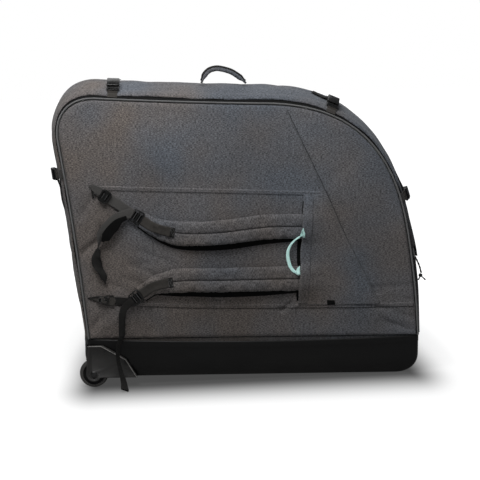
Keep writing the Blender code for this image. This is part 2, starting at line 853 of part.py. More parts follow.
def build_axle(side):
    """The wheel's bolt: its head outside the outer cheek, its end flush with the inner one."""
    name = side_name(side)
    reach = housing_width() / 2 + FIT
    tip = reach + AXLE_HEAD_HEIGHT
    profile = [
        (0.0, tip),
        (AXLE_HEAD_RADIUS - AXLE_HEAD_CHAMFER, tip),
        (AXLE_HEAD_RADIUS, tip - AXLE_HEAD_CHAMFER),
        (AXLE_HEAD_RADIUS, reach),
        (AXLE_RADIUS, reach),
        (AXLE_RADIUS, -reach + 2 * FIT),
        (0.0, -reach + 2 * FIT),
    ]
    bolt = turned(f"axle_bolt_{name}", profile, 14, STEEL)
    bolt.matrix_basis = Matrix.Translation(wheel_centre(side)) @ Matrix.Rotation(-side * math.pi / 2, 4, "X")


# Compression straps


def strap_places():
    """(name, distance along the seam, buckle's depth behind the front) of each compression strap."""
    total = SEAM_DISTANCE[-1]
    return (
        ("left", STRAP_FROM_LEFT_FOOT[0], BUCKLE_SETBACK),
        ("top_left", STRAP_FROM_LEFT_FOOT[1], BUCKLE_SETBACK_TOP),
        ("top_right", total - STRAP_FROM_RIGHT_FOOT[0], BUCKLE_SETBACK_TOP),
        ("right", total - STRAP_FROM_RIGHT_FOOT[1], BUCKLE_SETBACK_RIGHT),
    )


def gusset_frame(distance, y, lift):
    """A matrix on the gusset: local X runs to the front along the crown, local Z points outwards."""
    point, normal = seam_at(distance)
    slope = 2 * crown_at(point, normal) * y / HALF_DEPTH**2
    forward = Vector((normal.x * slope, -1.0, normal.y * slope)).normalized()
    out = Vector((normal.x, 0.0, normal.y))
    out = (out - forward * out.dot(forward)).normalized()
    across = out.cross(forward)
    place = over_gusset(point, normal, y) + out * lift
    return Matrix.Translation(place) @ Matrix((forward, across, out)).transposed().to_4x4()


def socket_shape(name):
    """The half that stays on the case: open at the front, with side windows and a slot for webbing."""
    size = (SOCKET_LENGTH, BUCKLE_WIDTH, BUCKLE_THICKNESS)
    body = box(name, size, (-SOCKET_LENGTH / 2 - FIT, 0, 0), PLASTIC)
    bevel(body, 0.002, 2)
    inner = BUCKLE_WIDTH - 2 * BUCKLE_WALL
    height = TONGUE_THICKNESS + 2 * PRONG_CLEARANCE
    window = SOCKET_POCKET / 3
    cuts = (
        box(name + "_pocket", (SOCKET_POCKET * 2, inner, height), (0, 0, 0)),
        box(name + "_window", (window, BUCKLE_WIDTH * 2, height), (-SOCKET_POCKET / 2, 0, 0)),
    )
    for cutter in cuts:
        cut(body, as_cutter(cutter))
    return body, cuts


def tongue_shape(name):
    """The half that leaves with the lid: a base with a webbing slot, a guide and two prongs."""
    half = BUCKLE_WIDTH / 2
    reach = half - BUCKLE_WALL - PRONG_CLEARANCE
    root = FIT + TONGUE_CORNER
    tip = -PRONG_LENGTH
    barb = tip + PRONG_BARB
    upper = [
        (TONGUE_LENGTH, half - TONGUE_CORNER),
        (TONGUE_LENGTH - TONGUE_CORNER, half),
        (FIT, half),
        (FIT, reach),
        (barb + SLOT_LENGTH, reach - PRONG_STEP),
        (barb, reach),
        (tip, reach - TONGUE_CORNER),
        (tip + PRONG_TIP, reach - PRONG_WIDTH),
        (root, reach - PRONG_WIDTH),
        (root, GUIDE_WIDTH / 2),
        (tip, GUIDE_WIDTH / 2 - PRONG_TIP / 2),
    ]
    lower = [(x, -y) for x, y in reversed(upper)]
    slot_start = TONGUE_LENGTH - 2 * SLOT_LENGTH
    slot = slot_outline(slot_start, SLOT_LENGTH, STRAP_WIDTH / 2 + FIT)
    return plate(name, [upper + lower, slot], TONGUE_THICKNESS, PLASTIC)


def slot_outline(start, length, half):
    """A rectangular slot across a buckle."""
    return [(start, -half), (start + length, -half), (start + length, half), (start, half)]


def rear_webbing(name, distance, frame, across):
    """From behind the socket, down over the crown to the back seam."""
    point, normal = seam_at(distance)
    start = frame @ Vector((-SOCKET_LENGTH - WEBBING_GAP, 0, 0))
    end = HALF_DEPTH - PIPING_RADIUS - FIT
    path = [start]
    for i in range(1, REAR_STEPS + 1):
        y = start.y + (end - start.y) * i / REAR_STEPS
        path.append(over_gusset(point, normal, y, REAR_LIFT))
    return ribbon(name, path, across, STRAP_WIDTH, STRAP_THICKNESS, WEBBING)


def front_webbing(name, distance, frame, across):
    """From the tongue over the zip to the front seam, where the lid carries it."""
    point, normal = seam_at(distance)
    start = frame @ Vector((TONGUE_LENGTH + WEBBING_GAP, 0, 0))
    end = FRONT + PIPING_RADIUS + FIT
    path = [start]
    for i in range(1, 4):
        y = start.y + (end - start.y) * i / 3
        path.append(over_gusset(point, normal, y, STRAP_LIFT))
    return ribbon(name, path, across, STRAP_WIDTH, STRAP_THICKNESS, WEBBING)


def build_compression_straps(lid_axis):
    lift = BUCKLE_THICKNESS / 2 + BUCKLE_SEAT
    for label, distance, setback in strap_places():
        frame = gusset_frame(distance, FRONT + setback, lift)
        across = frame.to_3x3().col[1].copy()
        socket, cutters = socket_shape(f"buckle_socket_{label}")
        for obj in (socket, *cutters):
            obj.matrix_basis = frame
        slide = empty(f"buckle_slide_{label}", frame, lid_axis)
        tongue = tongue_shape(f"buckle_tongue_{label}")
        tongue.parent = slide
        rear_webbing(f"rear_webbing_{label}", distance, frame, across)
        hang(front_webbing(f"front_webbing_{label}", distance, frame, across), lid_axis)


# Top handle


def build_handle():
    """A padded grip on webbing ends that are rounded about its swing axis."""
    radius = HANDLE_WIDTH / 2
    left, right = HANDLE_ARCH[0][0], HANDLE_ARCH[-1][0]
    y = FRONT + HANDLE_SETBACK
    top = max(gusset_top(HANDLE_CENTRE + end, y) for end in (left, right))
    slope = 2 * CROWN_TOP * y / HALF_DEPTH**2
    height = top + (HANDLE_SEAT + radius) * math.sqrt(1 + slope**2)
    axis = empty("handle_axis", Vector((HANDLE_CENTRE, y, height)))
    tip = HANDLE_TIP - radius
    route = [Vector((x, 0, z)) for x, z in ((left, tip), *HANDLE_ARCH, (right, tip))]
    path = smooth_path(route, HANDLE_STEPS)
    length = sum((b - a).length for a, b in zip(path, path[1:]))
    lower = ((-1, -0.35), (-0.8, -0.5), (0.8, -0.5), (1, -0.35))
    corners = (*lower, *((a, -b) for a, b in reversed(lower)))
    sections = []
    for i, point in enumerate(path):
        along = (path[min(i + 1, HANDLE_STEPS)] - path[max(i - 1, 0)]).normalized()
        up = Vector((0, 1, 0)).cross(along).normalized()
        reach = min(i, HANDLE_STEPS - i) / HANDLE_STEPS * length
        half = math.sqrt(radius**2 - max(-tip - reach, 0.0) ** 2)
        grip = min(max((reach - radius) / HANDLE_GRIP_TAPER, 0.0), 1.0)
        thick = HANDLE_END_THICKNESS + (HANDLE_GRIP_THICKNESS - HANDLE_END_THICKNESS) * grip
        sections.append([point + Vector((0, half * a, 0)) + up * thick * b for a, b in corners])
    handle = skin("top_handle", sections, WEBBING)
    handle.parent = axis
    return handle


# Zip slider, pull and cord


def build_zip(case_frame):
    """The slider straddles the gap between the two zip tapes; the pull and its cord hang on it."""
    lift = SLIDER_CLEARANCE + SLIDER_PLATE
    half = SLIDER_WIDTH / 2
    under = -ZIP_TAPE_THICKNESS - SLIDER_CLEARANCE
    web = SLIDER_WEB / 2
    outline = [
        (-half, lift),
        (-half, SLIDER_CLEARANCE),
        (-web, SLIDER_CLEARANCE),
        (-web, under),
        (-half + 0.001, under),
        (-half + 0.001, under - SLIDER_PLATE),
        (half - 0.001, under - SLIDER_PLATE),
        (half - 0.001, under),
        (web, under),
        (web, SLIDER_CLEARANCE),
        (half, SLIDER_CLEARANCE),
        (half, lift),
    ]
    slide = empty("slider_axis", case_frame)
    slider = plate("zip_slider", [outline], SLIDER_LENGTH, PLASTIC)
    slider.parent = slide
    heel = math.hypot(PULL_HEEL, PULL_THICKNESS / 2)
    pivot = case_frame @ Matrix.Translation((0, lift + heel + FIT, -SLIDER_LENGTH / 4))
    hinge = empty("pull_axis", Matrix.Translation(pivot.translation), slide)
    wide = PULL_WIDTH / 2
    tab = [(-wide, PULL_HEEL), *arc((0, -PULL_LENGTH + wide), wide, 180, 360, 8), (wide, PULL_HEEL)]
    hole = arc((0, -PULL_LENGTH + wide), PULL_HOLE, 0, 315, 7)
    pull = plate("zip_pull", [tab, hole], PULL_THICKNESS, STEEL)
    pull.matrix_basis = parent_matrix(hinge).inverted() @ pivot @ Matrix.Rotation(math.pi / 2, 4, "X")
    pull.parent = hinge
    exit_point = (pivot @ Matrix.Rotation(math.pi / 2, 4, "X")) @ Vector((0, -PULL_LENGTH - FIT, 0))
    route = smooth_path([exit_point + Vector(offset) for offset in ZIP_CORD_ROUTE], 16)
    cord = tube("zip_cord", route, ZIP_CORD_RADIUS, CORD, 1)
    bm = bmesh.new()
    knot_place = route[-1] - Vector((0, 0, KNOT_RADIUS + FIT))
    at_knot = Matrix.Translation(knot_place)
    bmesh.ops.create_uvsphere(bm, u_segments=10, v_segments=6, radius=KNOT_RADIUS, matrix=at_knot)
    knot = from_bmesh("zip_cord_knot", bm, CORD)
    hang(cord, hinge)
    hang(knot, hinge)


def slider_frame():
    """Local Z runs up the zip, local Y points outwards, and the origin is at the gap between the tapes."""
    _, lid_end, case_start, _ = zip_band()
    y = (lid_end + case_start) / 2
    total = SEAM_DISTANCE[-1]
    low = over_gusset(*seam_at(total - SLIDER_FROM_RIGHT_FOOT), y)
    high = over_gusset(*seam_at(total - SLIDER_FROM_RIGHT_FOOT - SLIDER_TRAVEL), y)
    up = (high - low).normalized()
    point, normal = seam_at(total - SLIDER_FROM_RIGHT_FOOT)
    slope = 2 * crown_at(point, normal) * y / HALF_DEPTH**2
    forward = Vector((normal.x * slope, -1.0, normal.y * slope)).normalized()
    out = up.cross(forward)
    if out.dot(Vector((normal.x, 0, normal.y))) < 0:
        out = -out
    across = out.cross(up).normalized()
    return Matrix.Translation(low) @ Matrix((across, out.normalized(), up)).transposed().to_4x4()


# Backpack harness


def pad_path(route):
    return smooth_path([Vector(point) for point in route], PAD_STEPS)


def pad_section(centre, side, width, thickness, share, lift):
    """Crowned section with a drawn-in edge on each side and a sewn channel along its middle."""
    half = width / 2
    shape = (
        (-0.86, 0.0),
        (-0.50, 0.0),
        (0.0, 0.0),
        (0.50, 0.0),
        (0.86, 0.0),
        (1.0, 0.28),
        (0.93, 0.62),
        (0.72, 0.90),
        (0.42, 1.0),
        (0.14, 0.90),
        (0.0, 0.90 - share * PAD_CHANNEL / PAD_THICKNESS),
        (-0.14, 0.90),
        (-0.42, 1.0),
        (-0.72, 0.90),
        (-0.93, 0.62),
        (-1.0, 0.28),
    )
    section = []
    for across, up in shape:
        flat = centre + side * half * across
        section.append(on_front(flat.x, flat.y, lift + up * thickness))
    return section


def build_pad(name, route):
    """One padded shoulder strap, arched a little off the panel between its ends."""
    path = pad_path(route)
    sections = []
    for i, point in enumerate(path):
        along = (path[min(i + 1, PAD_STEPS)] - path[max(i - 1, 0)]).normalized()
        side = Vector((-along.y, along.x))
        from_end = (PAD_STEPS - i) / PAD_STEPS
        taper = min(from_end / PAD_TAPER, 1.0)
        taper = taper * taper * (3 - 2 * taper)
        width = PAD_END_WIDTH + (PAD_WIDTH - PAD_END_WIDTH) * taper
        closed = PAD_END_SHARE + (1 - PAD_END_SHARE) * min(from_end / PAD_END_RUN, 1.0)
        lift = PAD_LIFT + PAD_ARCH * math.sin(math.pi * from_end) ** 2
        sections.append(pad_section(point, side, width, PAD_THICKNESS * closed, taper, lift))
    return skin(name, sections, PADDING)


def panel_frame(place, along, lift):
    """A matrix on the front panel: local X runs along it in the given direction, local Z points out of it."""
    reach = LOCK_LENGTH / 3
    sideways = Vector((-along.y, along.x))

    def slope(direction):
        ahead, behind = place + direction * reach, place - direction * reach
        return (on_front(ahead.x, ahead.y) - on_front(behind.x, behind.y)).normalized()

    forward = slope(along)
    out = slope(sideways).cross(forward)
    if out.y > 0:
        out = -out
    out.normalize()
    across = out.cross(forward)
    origin = on_front(place.x, place.y) + out * lift
    return Matrix.Translation(origin) @ Matrix((forward, across, out)).transposed().to_4x4()


def lock_slot():
    """Length of each of the lock's two slots, between its frame, its middle bar and its end bar."""
    return (LOCK_LENGTH - 4 * LOCK_BAR) / 2


def lock_bar_edge():
    """Where the end bar starts, seen from the pad."""
    return 2 * (LOCK_BAR + lock_slot())


def lock_outlines():
    """The lock's frame, narrowed at its free end, and its two slots."""
    half = LOCK_WIDTH / 2
    slot = lock_slot()
    lower = [
        (0.0, -half + LOCK_BAR),
        (LOCK_BAR, -half),
        (LOCK_LENGTH - LOCK_TAPER, -half + LOCK_TAPER / 3),
        (LOCK_LENGTH, -half + LOCK_TAPER * 4 / 3),
    ]
    upper = [(x, -y) for x, y in reversed(lower)]
    holes = [slot_outline(start, slot, half - LOCK_BAR) for start in (LOCK_BAR, 2 * LOCK_BAR + slot)]
    return [lower + upper, *holes]


def build_lock(name, route, parent):
    """The ladder lock at a pad's end, hinged on the outer edge that meets the pad."""
    path = pad_path(route)
    along = (path[-1] - path[-2]).normalized()
    middle = path[-1] + along * (FIT + LOCK_LENGTH / 2)
    frame = panel_frame(middle, along, LOCK_SEAT + LOCK_THICKNESS)
    frame = frame @ Matrix.Translation((-LOCK_LENGTH / 2, 0, 0))
    hinge = empty(f"{name}_axis", frame, parent)
    lock = plate(name, lock_outlines(), LOCK_THICKNESS, PLASTIC)
    lock.matrix_basis = Matrix.Translation((0, 0, -LOCK_THICKNESS / 2))
    lock.parent = hinge
    return frame


def build_hook(name, place, towards, parent):
    """The small flat buckle between the anchor and the adjusting webbing."""
    place, towards = Vector(place), Vector(towards)
    lift = STRAP_LIFT + STRAP_THICKNESS + WEBBING_GAP + HOOK_THICKNESS / 2
    frame = panel_frame(place, (towards - place).normalized(), lift)
    half, wide = HOOK_LENGTH / 2, HOOK_WIDTH / 2
    bar = HOOK_BAR
    outer = [(-half, -wide + bar), (-half + bar, -wide), (half - bar, -wide), (half, -wide + bar)]
    outer += [(x, -y) for x, y in reversed(outer)]
    holes = [slot_outline(start, HOOK_SLOT, wide - bar) for start in (-half + bar, half - bar - HOOK_SLOT)]
    hook = plate(name, [outer, *holes], HOOK_THICKNESS, PLASTIC)
    hook.matrix_basis = frame
    hang(hook, parent)


def strap_webbing(name, anchor, hook, lock_frame, tail, parent):
    """One webbing: anchor, under the hook, round the lock's end bar, and the loose tail back off it."""
    anchor, hook = Vector(anchor), Vector(hook)
    bar = lock_bar_edge()
    turn = LOCK_THICKNESS / 2 + FIT + STRAP_THICKNESS / 2
    under = lock_frame @ Vector((LOCK_LENGTH + FIT, 0, 0))
    flat = [anchor, hook, Vector((under.x, under.z))]
    lift = STRAP_LIFT + STRAP_THICKNESS / 2
    path = []
    for start, end in zip(flat, flat[1:]):
        for i in range(4):
            p = start.lerp(end, i / 4)
            path.append(on_front(p.x, p.y, lift))
    straight = len(path)
    for x, z in [(LOCK_LENGTH, -turn), *arc((bar, 0.0), turn, -90, -270, 6), (LOCK_LENGTH, turn)]:
        path.append(lock_frame @ Vector((x, 0, z - LOCK_THICKNESS / 2)))
    turned_by = len(path)
    path += smooth_path([tail_point(point) for point in tail], 2 * len(tail))
    lock_side = lock_frame.to_3x3().col[1].copy()
    across = []
    for i, point in enumerate(path):
        along = (path[min(i + 1, len(path) - 1)] - path[max(i - 1, 0)]).normalized()
        through_lock = straight <= i < turned_by
        side = lock_side if through_lock else along.cross(Vector((0, -1, 0))).normalized()
        if across and side.dot(across[-1]) < 0:
            side = -side
        across.append(side)
    hang(ribbon(name, path, across, STRAP_WIDTH, STRAP_THICKNESS, WEBBING), parent)


def tail_point(point):
    """A point of a loose tail: on the panel, or in front of the base below it."""
    x, z, lift = point
    return on_front(x, max(z, BASE_HEIGHT), lift) + Vector((0, 0, min(z - BASE_HEIGHT, 0.0)))


def pad_axis(name, route, lid_axis):
    """A pad swings about the upright line where it comes out of the stow pocket."""
    start = Vector(route[0])
    return empty(name, on_front(start.x, start.y, POCKET_GAP + POCKET_THICKNESS), lid_axis)


def build_pocket(lid_axis):
    """The stow pocket's panel, laid over the front panel and open along its left edge."""
    rows = []
    steps = 6
    for i in range(steps + 1):
        z = POCKET_FOOT + (POCKET_TOP - POCKET_FOOT) * i / steps
        length = POCKET_FOOT_LENGTH + (POCKET_TOP_LENGTH - POCKET_FOOT_LENGTH) * i / steps
        xs = [POCKET_EDGE + length * j / steps for j in range(steps + 1)]
        rows.append([on_front(x, z, POCKET_GAP + POCKET_THICKNESS) for x in xs])
    pocket = sheet("stow_pocket", rows, POCKET_THICKNESS, HEART, FABRIC)
    hang(pocket, lid_axis)


def build_haul_loop(lid_axis):
    """The coloured loop at the pocket's edge, on an upright axis through both its sewn ends."""
    lift = POCKET_GAP + POCKET_THICKNESS + FIT + HAUL_RADIUS
    top, foot = Vector(HAUL_TOP), Vector(HAUL_FOOT)
    reach = min(top.x, foot.x) - HAUL_REACH
    middle = (top.y + foot.y) / 2 + 0.005
    route = [
        top,
        Vector((top.x - 0.006, top.y - 0.020)),
        Vector((reach + 0.015, middle + 0.018)),
        Vector((reach, middle)),
        Vector((reach + 0.014, middle - 0.022)),
        Vector((foot.x - 0.007, foot.y + 0.014)),
        foot,
    ]
    path = smooth_path([Vector((p.x, 0, p.y)) for p in route], 22)
    depth = on_front(top.x, top.y, lift).y
    loop = tube("haul_loop", [Vector((p.x, depth, p.z)) for p in path], HAUL_RADIUS, MINT, 2)
    axis = empty("haul_axis", Vector((foot.x, depth, foot.y)), lid_axis)
    hang(loop, axis)


def build_harness(lid_axis):
    for label, route, anchor, hook, tail in (
        ("upper", UPPER_PAD, UPPER_ANCHOR, UPPER_HOOK, UPPER_TAIL),
        ("lower", LOWER_PAD, LOWER_ANCHOR, LOWER_HOOK, LOWER_TAIL),
    ):
        axis = pad_axis(f"shoulder_axis_{label}", route, lid_axis)
        hang(build_pad(f"shoulder_strap_{label}", route), axis)
        frame = build_lock(f"ladder_lock_{label}", route, axis)
        strap_webbing(f"strap_webbing_{label}", anchor, hook, frame, tail, axis)
        lock_tip = frame @ Vector((LOCK_LENGTH, 0, 0))
        build_hook(f"strap_hook_{label}", hook, (lock_tip.x, lock_tip.z), lid_axis)


# Straps inside the case


def build_inner_straps():
    face = HALF_DEPTH - PANEL_SKIN - FOAM_GAP - PANEL_FOAM

    def inside(x, z, lift):
        return Vector((x, face + PANEL_BULGE * swell(x, z) - lift, z))

    for number, x in enumerate(INNER_STRAPS, start=1):
        lift = INNER_STRAP_GAP + STRAP_THICKNESS / 2
        heights = [INNER_STRAP_FOOT + (INNER_STRAP_TOP - INNER_STRAP_FOOT) * i / 8 for i in range(9)]
        path = [inside(x, z, lift) for z in heights]
        ribbon(f"inner_strap_{number}", path, Vector((1, 0, 0)), STRAP_WIDTH, STRAP_THICKNESS, WEBBING)
        seat = inside(x, CAM_HEIGHT, lift + STRAP_THICKNESS / 2 + CAM_SIZE[1] / 2 + 2 * FIT)
        bevel(box(f"cam_buckle_{number}", CAM_SIZE, seat, PLASTIC), 0.0015, 1)


# The whole case


def build_soft_shell():
    """The gusset with its padding and half of the zip, and the padded back panel."""
    _, _, case_start, case_end = zip_band()
    back = HALF_DEPTH - PIPING_RADIUS - FIT
    sheet("gusset", gusset_rows(case_end + 2 * FIT, back, 7), GUSSET_SKIN, HEART, FABRIC)
    sheet("zip_tape_case", gusset_rows(case_start, case_end, 1), ZIP_TAPE_THICKNESS, HEART, TAPE)
    lining = gusset_rows(case_end + LINING_INSET, back - LINING_INSET * 2, 5, -GUSSET_SKIN - LINING_GAP)
    sheet("gusset_foam", lining, GUSSET_FOAM, HEART, FOAM)
    panel("back_panel", 1, FABRIC)
    panel_foam("back_foam", 1, FOAM)
    piping("back_piping", 1, PIPING)


def build_lid():
    """The front panel with its padding, piping and half of the zip, on its hinge along the base."""
    axis = empty("lid_axis", Vector((0, FRONT - FIT, BASE_HEIGHT + FIT / 2)))
    lid_start, lid_end, _, _ = zip_band()
    pieces = (
        panel("front_panel", -1, FABRIC),
        panel_foam("front_foam", -1, FOAM),
        piping("front_piping", -1, PIPING),
        sheet("zip_tape_lid", gusset_rows(lid_start, lid_end, 1), ZIP_TAPE_THICKNESS, HEART, TAPE),
    )
    for piece in pieces:
        hang(piece, axis)
    return axis


def build_case():
    build_base()
    build_soft_shell()
    for side in (-1, 1):
        build_housing(side)
        build_wheel(side)
        build_axle(side)
    lid_axis = build_lid()
    build_compression_straps(lid_axis)
    build_pocket(lid_axis)
    build_harness(lid_axis)
    build_haul_loop(lid_axis)
    build_handle()
    build_zip(slider_frame())
    build_inner_straps()


for leftover in list(bpy.data.objects):
    bpy.data.objects.remove(leftover)

PARTS = new_collection("bike_travel_case")
CUTTERS = new_collection("cutters")

FABRIC = paint("heather_fabric", (0.080, 0.080, 0.084), 0.85)
TARPAULIN = paint("black_tarpaulin", (0.010, 0.010, 0.011), 0.45)
TAPE = paint("zip_tape", (0.012, 0.012, 0.013), 0.70)
PIPING = paint("piping", (0.030, 0.030, 0.032), 0.60)
WEBBING = paint("webbing", (0.018, 0.018, 0.019), 0.75)
PADDING = paint("strap_padding", (0.060, 0.060, 0.062), 0.85)
PLASTIC = paint("buckle_plastic", (0.014, 0.014, 0.015), 0.40)
HOUSING = paint("housing_plastic", (0.022, 0.023, 0.025), 0.50)
BOARD = paint("board_plastic", (0.050, 0.050, 0.052), 0.55)
FOAM = paint("padding_foam", (0.120, 0.120, 0.125), 0.90)
MINT = paint("mint_webbing", (0.420, 0.730, 0.640), 0.70)
CORD = paint("pull_cord", (0.020, 0.020, 0.021), 0.70)
TYRE = paint("wheel_tyre", (0.040, 0.041, 0.044), 0.55)
HUB = paint("wheel_hub", (0.060, 0.060, 0.064), 0.45)
STEEL = paint("steel", (0.400, 0.400, 0.410), 0.35, 1.0)

SEAM = seam_line()
SEAM_NORMAL = outward(SEAM)
SEAM_DISTANCE = distances(SEAM)
PANEL_EDGE = panel_loop(PIPING_RADIUS + FIT)

build_case()
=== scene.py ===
"""Looks of the wheeled bicycle travel case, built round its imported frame.

Metres, +Z up, -Y is the front.  The seam's outline and the places on the gusset and the panels come
from the same driving sizes as the case's solids.
"""

import json
import math
from bisect import bisect_right

import bmesh
import bpy
from mathutils import Matrix, Vector, geometry, noise
from mathutils.bvhtree import BVHTree

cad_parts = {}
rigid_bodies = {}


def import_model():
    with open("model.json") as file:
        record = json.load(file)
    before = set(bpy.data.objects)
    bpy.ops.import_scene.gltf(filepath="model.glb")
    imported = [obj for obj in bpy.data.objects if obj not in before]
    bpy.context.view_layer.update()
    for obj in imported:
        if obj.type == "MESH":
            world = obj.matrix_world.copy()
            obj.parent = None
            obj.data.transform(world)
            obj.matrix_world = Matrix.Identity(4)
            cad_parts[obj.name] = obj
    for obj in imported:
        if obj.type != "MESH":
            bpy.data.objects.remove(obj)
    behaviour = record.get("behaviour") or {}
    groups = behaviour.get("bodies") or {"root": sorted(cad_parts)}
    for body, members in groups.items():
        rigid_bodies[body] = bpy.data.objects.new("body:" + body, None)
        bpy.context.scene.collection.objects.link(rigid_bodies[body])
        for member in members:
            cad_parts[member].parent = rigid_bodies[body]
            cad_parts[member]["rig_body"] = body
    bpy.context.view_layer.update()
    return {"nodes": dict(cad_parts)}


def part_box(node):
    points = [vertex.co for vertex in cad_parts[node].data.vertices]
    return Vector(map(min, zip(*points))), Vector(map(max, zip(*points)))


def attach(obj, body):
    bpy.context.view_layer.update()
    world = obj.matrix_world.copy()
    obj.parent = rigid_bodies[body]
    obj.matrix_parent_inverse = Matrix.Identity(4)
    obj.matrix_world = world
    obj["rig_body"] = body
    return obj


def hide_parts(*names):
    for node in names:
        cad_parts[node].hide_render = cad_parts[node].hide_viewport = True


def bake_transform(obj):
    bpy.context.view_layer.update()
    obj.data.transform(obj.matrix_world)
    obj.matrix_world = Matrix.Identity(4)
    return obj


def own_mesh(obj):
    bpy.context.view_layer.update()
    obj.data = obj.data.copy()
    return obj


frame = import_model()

OUT = Vector((0, -1, 0))

# Outline of the case, seen from the front
BASE_LENGTH = 0.876
BASE_HEIGHT = 0.105
SEAM_HEIGHT = 0.733
TOP_FALL = 0.013
SHOULDER_HEIGHT = 0.620
LEAN_LEFT = 0.069
LEAN_RIGHT = 0.036
CORNER_RUN = 0.097
NOSE_RUN = 0.408
NOSE_HEIGHT = 0.400
LEFT_BOW = -0.0045
RIGHT_BOW = 0.005
TOP_SAG = -0.002
CORNER_EASE = 0.070
NOSE_EASE_TOP = 0.225
NOSE_EASE_SIDE = 0.205

# Depth and crown
HALF_DEPTH = 0.115
FRONT = -HALF_DEPTH
PANEL_BULGE = 0.025
CROWN_TOP = 0.050
CROWN_SIDE = 0.026
CROWN_FOOT = 0.016
CROWN_RISE = 0.150
PANEL_SKIN = 0.003
FLAT_SHARE = 0.50
PIPING_RADIUS = 0.0025
TAPE_WIDTH = 0.011
TAPE_GAP = 0.002
FIT = 0.0003
PANEL_CENTRE = Vector((-0.030, 0.405))
HEART = Vector((0.0, 0.0, 0.419))
BASE_HEART = Vector((0.0, 0.0, 0.08))

# Base
TUB_WALL = 0.003
TUB_END_RADIUS = 0.050
TUB_LONG_RADIUS = 0.018
EDGE_BOW = 0.011
HEM_DEPTH = 0.020

# Wheels
WHEEL_RADIUS = 0.038
WHEEL_WIDTH = 0.024
WHEEL_TRACK = 0.212
WHEEL_AXLE = (-0.425, 0.012)
TYRE_DEPTH = 0.016

# Straps
STRAP_WIDTH = 0.025
STRAP_THICKNESS = 0.0016
STRAP_LIFT = 0.0018
STRAP_RISE = 0.0022
STRAP_PLACES = {"left": 0.438, "top_left": 0.738, "top_right": -0.671, "right": -0.371}
BUCKLE_SETBACKS = {"left": 0.065, "top_left": 0.034, "top_right": 0.034, "right": 0.046}
BUCKLE_LIFT = 0.0076
SOCKET_LENGTH = 0.034
TONGUE_LENGTH = 0.018
BUCKLE_GAP = 0.0009

# Backpack harness on the front panel
POCKET_EDGE = 0.1185
POCKET_SLANT = 0.042
POCKET_TOP = 0.486
POCKET_FOOT = 0.193
POCKET_TOP_LENGTH = 0.062
POCKET_FOOT_LENGTH = 0.208
PAD_WIDTH = 0.064
PAD_THICKNESS = 0.014
PAD_LIFT = 0.0008
PAD_ARCH = 0.009
PAD_END_WIDTH = 0.041
PADS = {
    "upper": ((POCKET_EDGE, 0.403), (0.020, 0.402), (-0.090, 0.390), (-0.190, 0.388), (-0.257, 0.402),
              (-0.2935, 0.4225)),
    "lower": ((POCKET_EDGE, 0.266), (0.020, 0.266), (-0.090, 0.265), (-0.190, 0.264), (-0.260, 0.252),
              (-0.298, 0.228)),
}


def metres(table):
    """A table of millimetres in metres."""
    if isinstance(table, dict):
        return {label: metres(rows) for label, rows in table.items()}
    return tuple(metres(row) for row in table) if isinstance(table, tuple) else table / 1000


def smooth_step(value):
    value = min(max(value, 0.0), 1.0)
    return value * value * (3 - 2 * value)


def wobble(*place):
    return noise.noise(Vector(place))


def signed_power(value, power):
    return math.copysign(abs(value) ** power, value)


def middle_of(points):
    points = list(points)
    return sum(points, Vector()) / len(points)


# Camera, floor and lamps

CAMERA_TARGET = Vector((-0.032, 0.0, 0.3485))
CAMERA_DISTANCE = 3.2
CAMERA_AZIMUTH = math.radians(-3.5)
CAMERA_ELEVATION = math.radians(8.0)
CAMERA_LENS = 88.3
# Lamps: place, target, size and power
LAMPS = {
    "key": ((-0.62, -1.12, 2.08), (-0.08, 0.0, 0.45), (1.5, 0.8), 42.5),
    "fill": ((2.0, -3.0, 1.2), (0.0, 0.0, 0.40), (2.0, 2.0), 6.5),
    "rim": ((-0.3, 1.3, 2.2), (-0.1, 0.0, 0.60), (2.2, 1.0), 12.0),
}
AMBIENT = 0.175


def in_scene(name, data):
    made = bpy.data.objects.new(name, data)
    bpy.context.scene.collection.objects.link(made)
    return made


def mesh_of(name, bm):
    mesh = bpy.data.meshes.new(name)
    bm.to_mesh(mesh)
    bm.free()
    return mesh


def aim(obj, place, direction):
    obj.location = place
    obj.rotation_mode = "QUATERNION"
    obj.rotation_quaternion = direction.to_track_quat("-Z", "Y")


def build_camera():
    """A long lens a little to the left of square on, looking down a little."""
    level = Vector((math.sin(CAMERA_AZIMUTH), -math.cos(CAMERA_AZIMUTH), 0))
    back = level * math.cos(CAMERA_ELEVATION) + Vector((0, 0, math.sin(CAMERA_ELEVATION)))
    data = bpy.data.cameras.new("camera")
    data.sensor_width = 36.0
    data.lens = CAMERA_LENS
    camera = in_scene("camera", data)
    aim(camera, CAMERA_TARGET + back * CAMERA_DISTANCE, -back)
    bpy.context.scene.camera = camera


def build_lights():
    for name, (place, target, size, power) in LAMPS.items():
        data = bpy.data.lights.new(name, "AREA")
        data.shape = "RECTANGLE"
        data.size, data.size_y = size
        data.energy = power
        aim(in_scene(name, data), place, Vector(target) - Vector(place))


def build_world():
    """Plain grey light from all round, and a white background for the camera."""
    world = bpy.data.worlds.new("studio")
    world.use_nodes = True
    bpy.context.scene.world = world
    tree = world.node_tree
    tree.nodes.clear()
    rays = put(tree, "LightPath")
    around = put(tree, "Background", (0.94, 0.97, 1.0, 1.0), AMBIENT)
    white = put(tree, "Background", (1.0, 1.0, 1.0, 1.0), 1.0)
    both = put(tree, "MixShader", rays.outputs["Is Camera Ray"], around.outputs[0], white.outputs[0])
    put(tree, "OutputWorld", both.outputs[0])


# How far the painted shadow on the floor reaches beside the case, before it and behind it
PAINTED_SHADOW_REACH = (0.124, 0.262, 0.85)
DARKEST_PAINTED_SHADOW = 0.085


